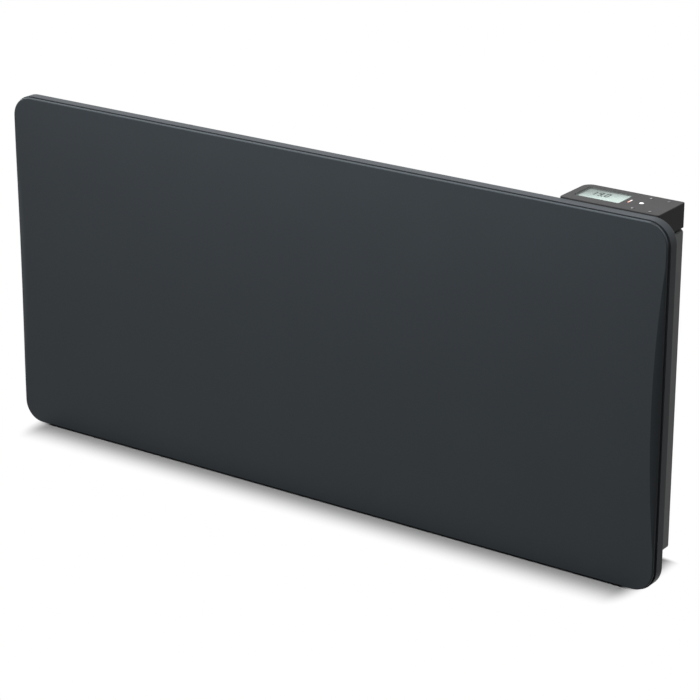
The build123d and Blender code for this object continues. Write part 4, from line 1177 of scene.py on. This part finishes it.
class RADIATOR_OT_stage(bpy.types.Operator):
    """Floor, background, lamps and camera"""

    bl_idname = "radiator.stage"
    bl_label = "Stage"

    def execute(self, context):
        studio = context.scene.radiator_studio
        self.camera(context, studio)
        self.floor(cad_bounds[0][2] - studio.floor_gap, studio.floor_bounce)
        self.world(studio.ambient)
        sun("side_light", math.radians(80), math.radians(20), studio.side_light)
        sun("top_light", 0, math.pi / 2, studio.top_light)
        lamp("top_lamp", (0.0, -0.35, 0.55), (0, -0.1, 0), 1.2, 0.3, studio.top_power)
        context.scene.view_settings.view_transform = "Standard"
        return {"FINISHED"}

    def camera(self, context, studio):
        """The camera looks along its azimuth and elevation past a point beside the radiator's middle."""
        aim = Vector((37.77, -74.3, -22.22)) * MM
        distance = 3301.73 * MM
        turn = Euler((math.pi / 2 - studio.elevation, 0, studio.azimuth)).to_matrix()
        turn = turn @ Matrix.Rotation(studio.roll, 3, "Z")
        lens = with_values(bpy.data.cameras.new("camera"), lens=studio.focal_length, sensor_width=36)
        eye = linked("camera", lens)
        eye.matrix_world = Matrix.Translation(aim + turn @ Vector((0, 0, distance))) @ turn.to_4x4()
        context.scene.camera = eye

    def floor(self, height, bounce):
        """Pale floor that keeps the real shadow near the radiator under a painted shadow: it is mid grey
        there and fades into the white background.
        """
        paint = Finish("floor_paint")
        low, high = cad_bounds
        # Painted shadow: the floor is grey near the radiator's footprint and turns white within reach of it.
        side_inset, side_rate, back_rate, reach = 45 * MM, 2, 6, 60 * MM
        beside = (abs(paint.axis("X")) - (high[0] - side_inset)) * side_rate
        behind = (paint.axis("Y") - high[1]) * back_rate
        x = paint.maths("MAXIMUM", beside, 0.0)
        y = paint.maths("MAXIMUM", paint.maths("MAXIMUM", low[1] - paint.axis("Y"), behind), 0.0)
        far = paint.maths("SQRT", x * x + y * y).ramp(0.0, reach) * background_rays(paint)
        seen = paint.add("ShaderNodeLightPath", output="Is Camera Ray")
        tone = paint.mix(seen, [bounce] * 3, (0.2, 0.2, 0.2))
        matte = paint.add("ShaderNodeBsdfDiffuse", {}, {"Color": tone})
        glow = paint.add("ShaderNodeEmission", {}, {"Color": WHITE})
        shader = paint.add("ShaderNodeMixShader", {}, {0: far, 1: matte, 2: glow})
        paint.add("ShaderNodeOutputMaterial", {}, {"Surface": shader})
        shape = bmesh.new()
        bmesh.ops.create_circle(shape, cap_ends=True, segments=96, radius=4.0)
        from_bmesh("floor", moved(shape, (0, 0, height)), paint.material)

    def world(self, ambient):
        """White all round for the background, softer light for the rest."""
        world = bpy.data.worlds.new("studio")
        world.use_nodes = True
        bpy.context.scene.world = world
        sky = Steps(world.node_tree)
        light, shown = [
            sky.add("ShaderNodeBackground", {}, {"Color": WHITE, "Strength": strength})
            for strength in (ambient, 1.0)
        ]
        both = sky.add("ShaderNodeMixShader", {}, {0: background_rays(sky), 1: light, 2: shown})
        sky.add("ShaderNodeOutputWorld", {}, {"Surface": both})


class RADIATOR_PT_panel(bpy.types.Panel):
    """Lists the radiator's sizes, colours and pieces"""

    bl_idname = "RADIATOR_PT_panel"
    bl_label = "Radiator"
    bl_space_type = "VIEW_3D"
    bl_region_type = "UI"
    bl_category = "Radiator"

    def draw(self, context):
        layout = self.layout
        for title, group in GROUPS.items():
            box = layout.box()
            for name in group.__annotations__:
                box.prop(getattr(context.scene, title), name)
        for operator in PIECES:
            layout.operator(operator.bl_idname)


GROUPS = {
    "radiator_colours": RadiatorColours,
    "radiator_sizes": RadiatorSizes,
    "radiator_studio": RadiatorStudio,
}
PIECES = (
    RADIATOR_OT_stage,
    RADIATOR_OT_front,
    RADIATOR_OT_frame,
    RADIATOR_OT_casing,
    RADIATOR_OT_screws,
    RADIATOR_OT_core,
    RADIATOR_OT_control_box,
    RADIATOR_OT_display,
    RADIATOR_OT_keys,
    RADIATOR_OT_status_light,
    RADIATOR_OT_switch,
    RADIATOR_OT_gland,
    RADIATOR_OT_leads,
    RADIATOR_OT_bracket,
    RADIATOR_OT_latches,
    RADIATOR_OT_buffers,
)
CLASSES = (*GROUPS.values(), *PIECES, RADIATOR_PT_panel)


def register():
    for kind in CLASSES:
        bpy.utils.register_class(kind)
    for name, group in GROUPS.items():
        setattr(bpy.types.Scene, name, bpy.props.PointerProperty(type=group))


def unregister():
    for name in GROUPS:
        delattr(bpy.types.Scene, name)
    for kind in reversed(CLASSES):
        bpy.utils.unregister_class(kind)


def main():
    """Makes every piece in order."""
    register()
    for operator in PIECES:
        group, name = operator.bl_idname.split(".")
        getattr(getattr(bpy.ops, group), name)()


if __name__ == "__main__":
    main()
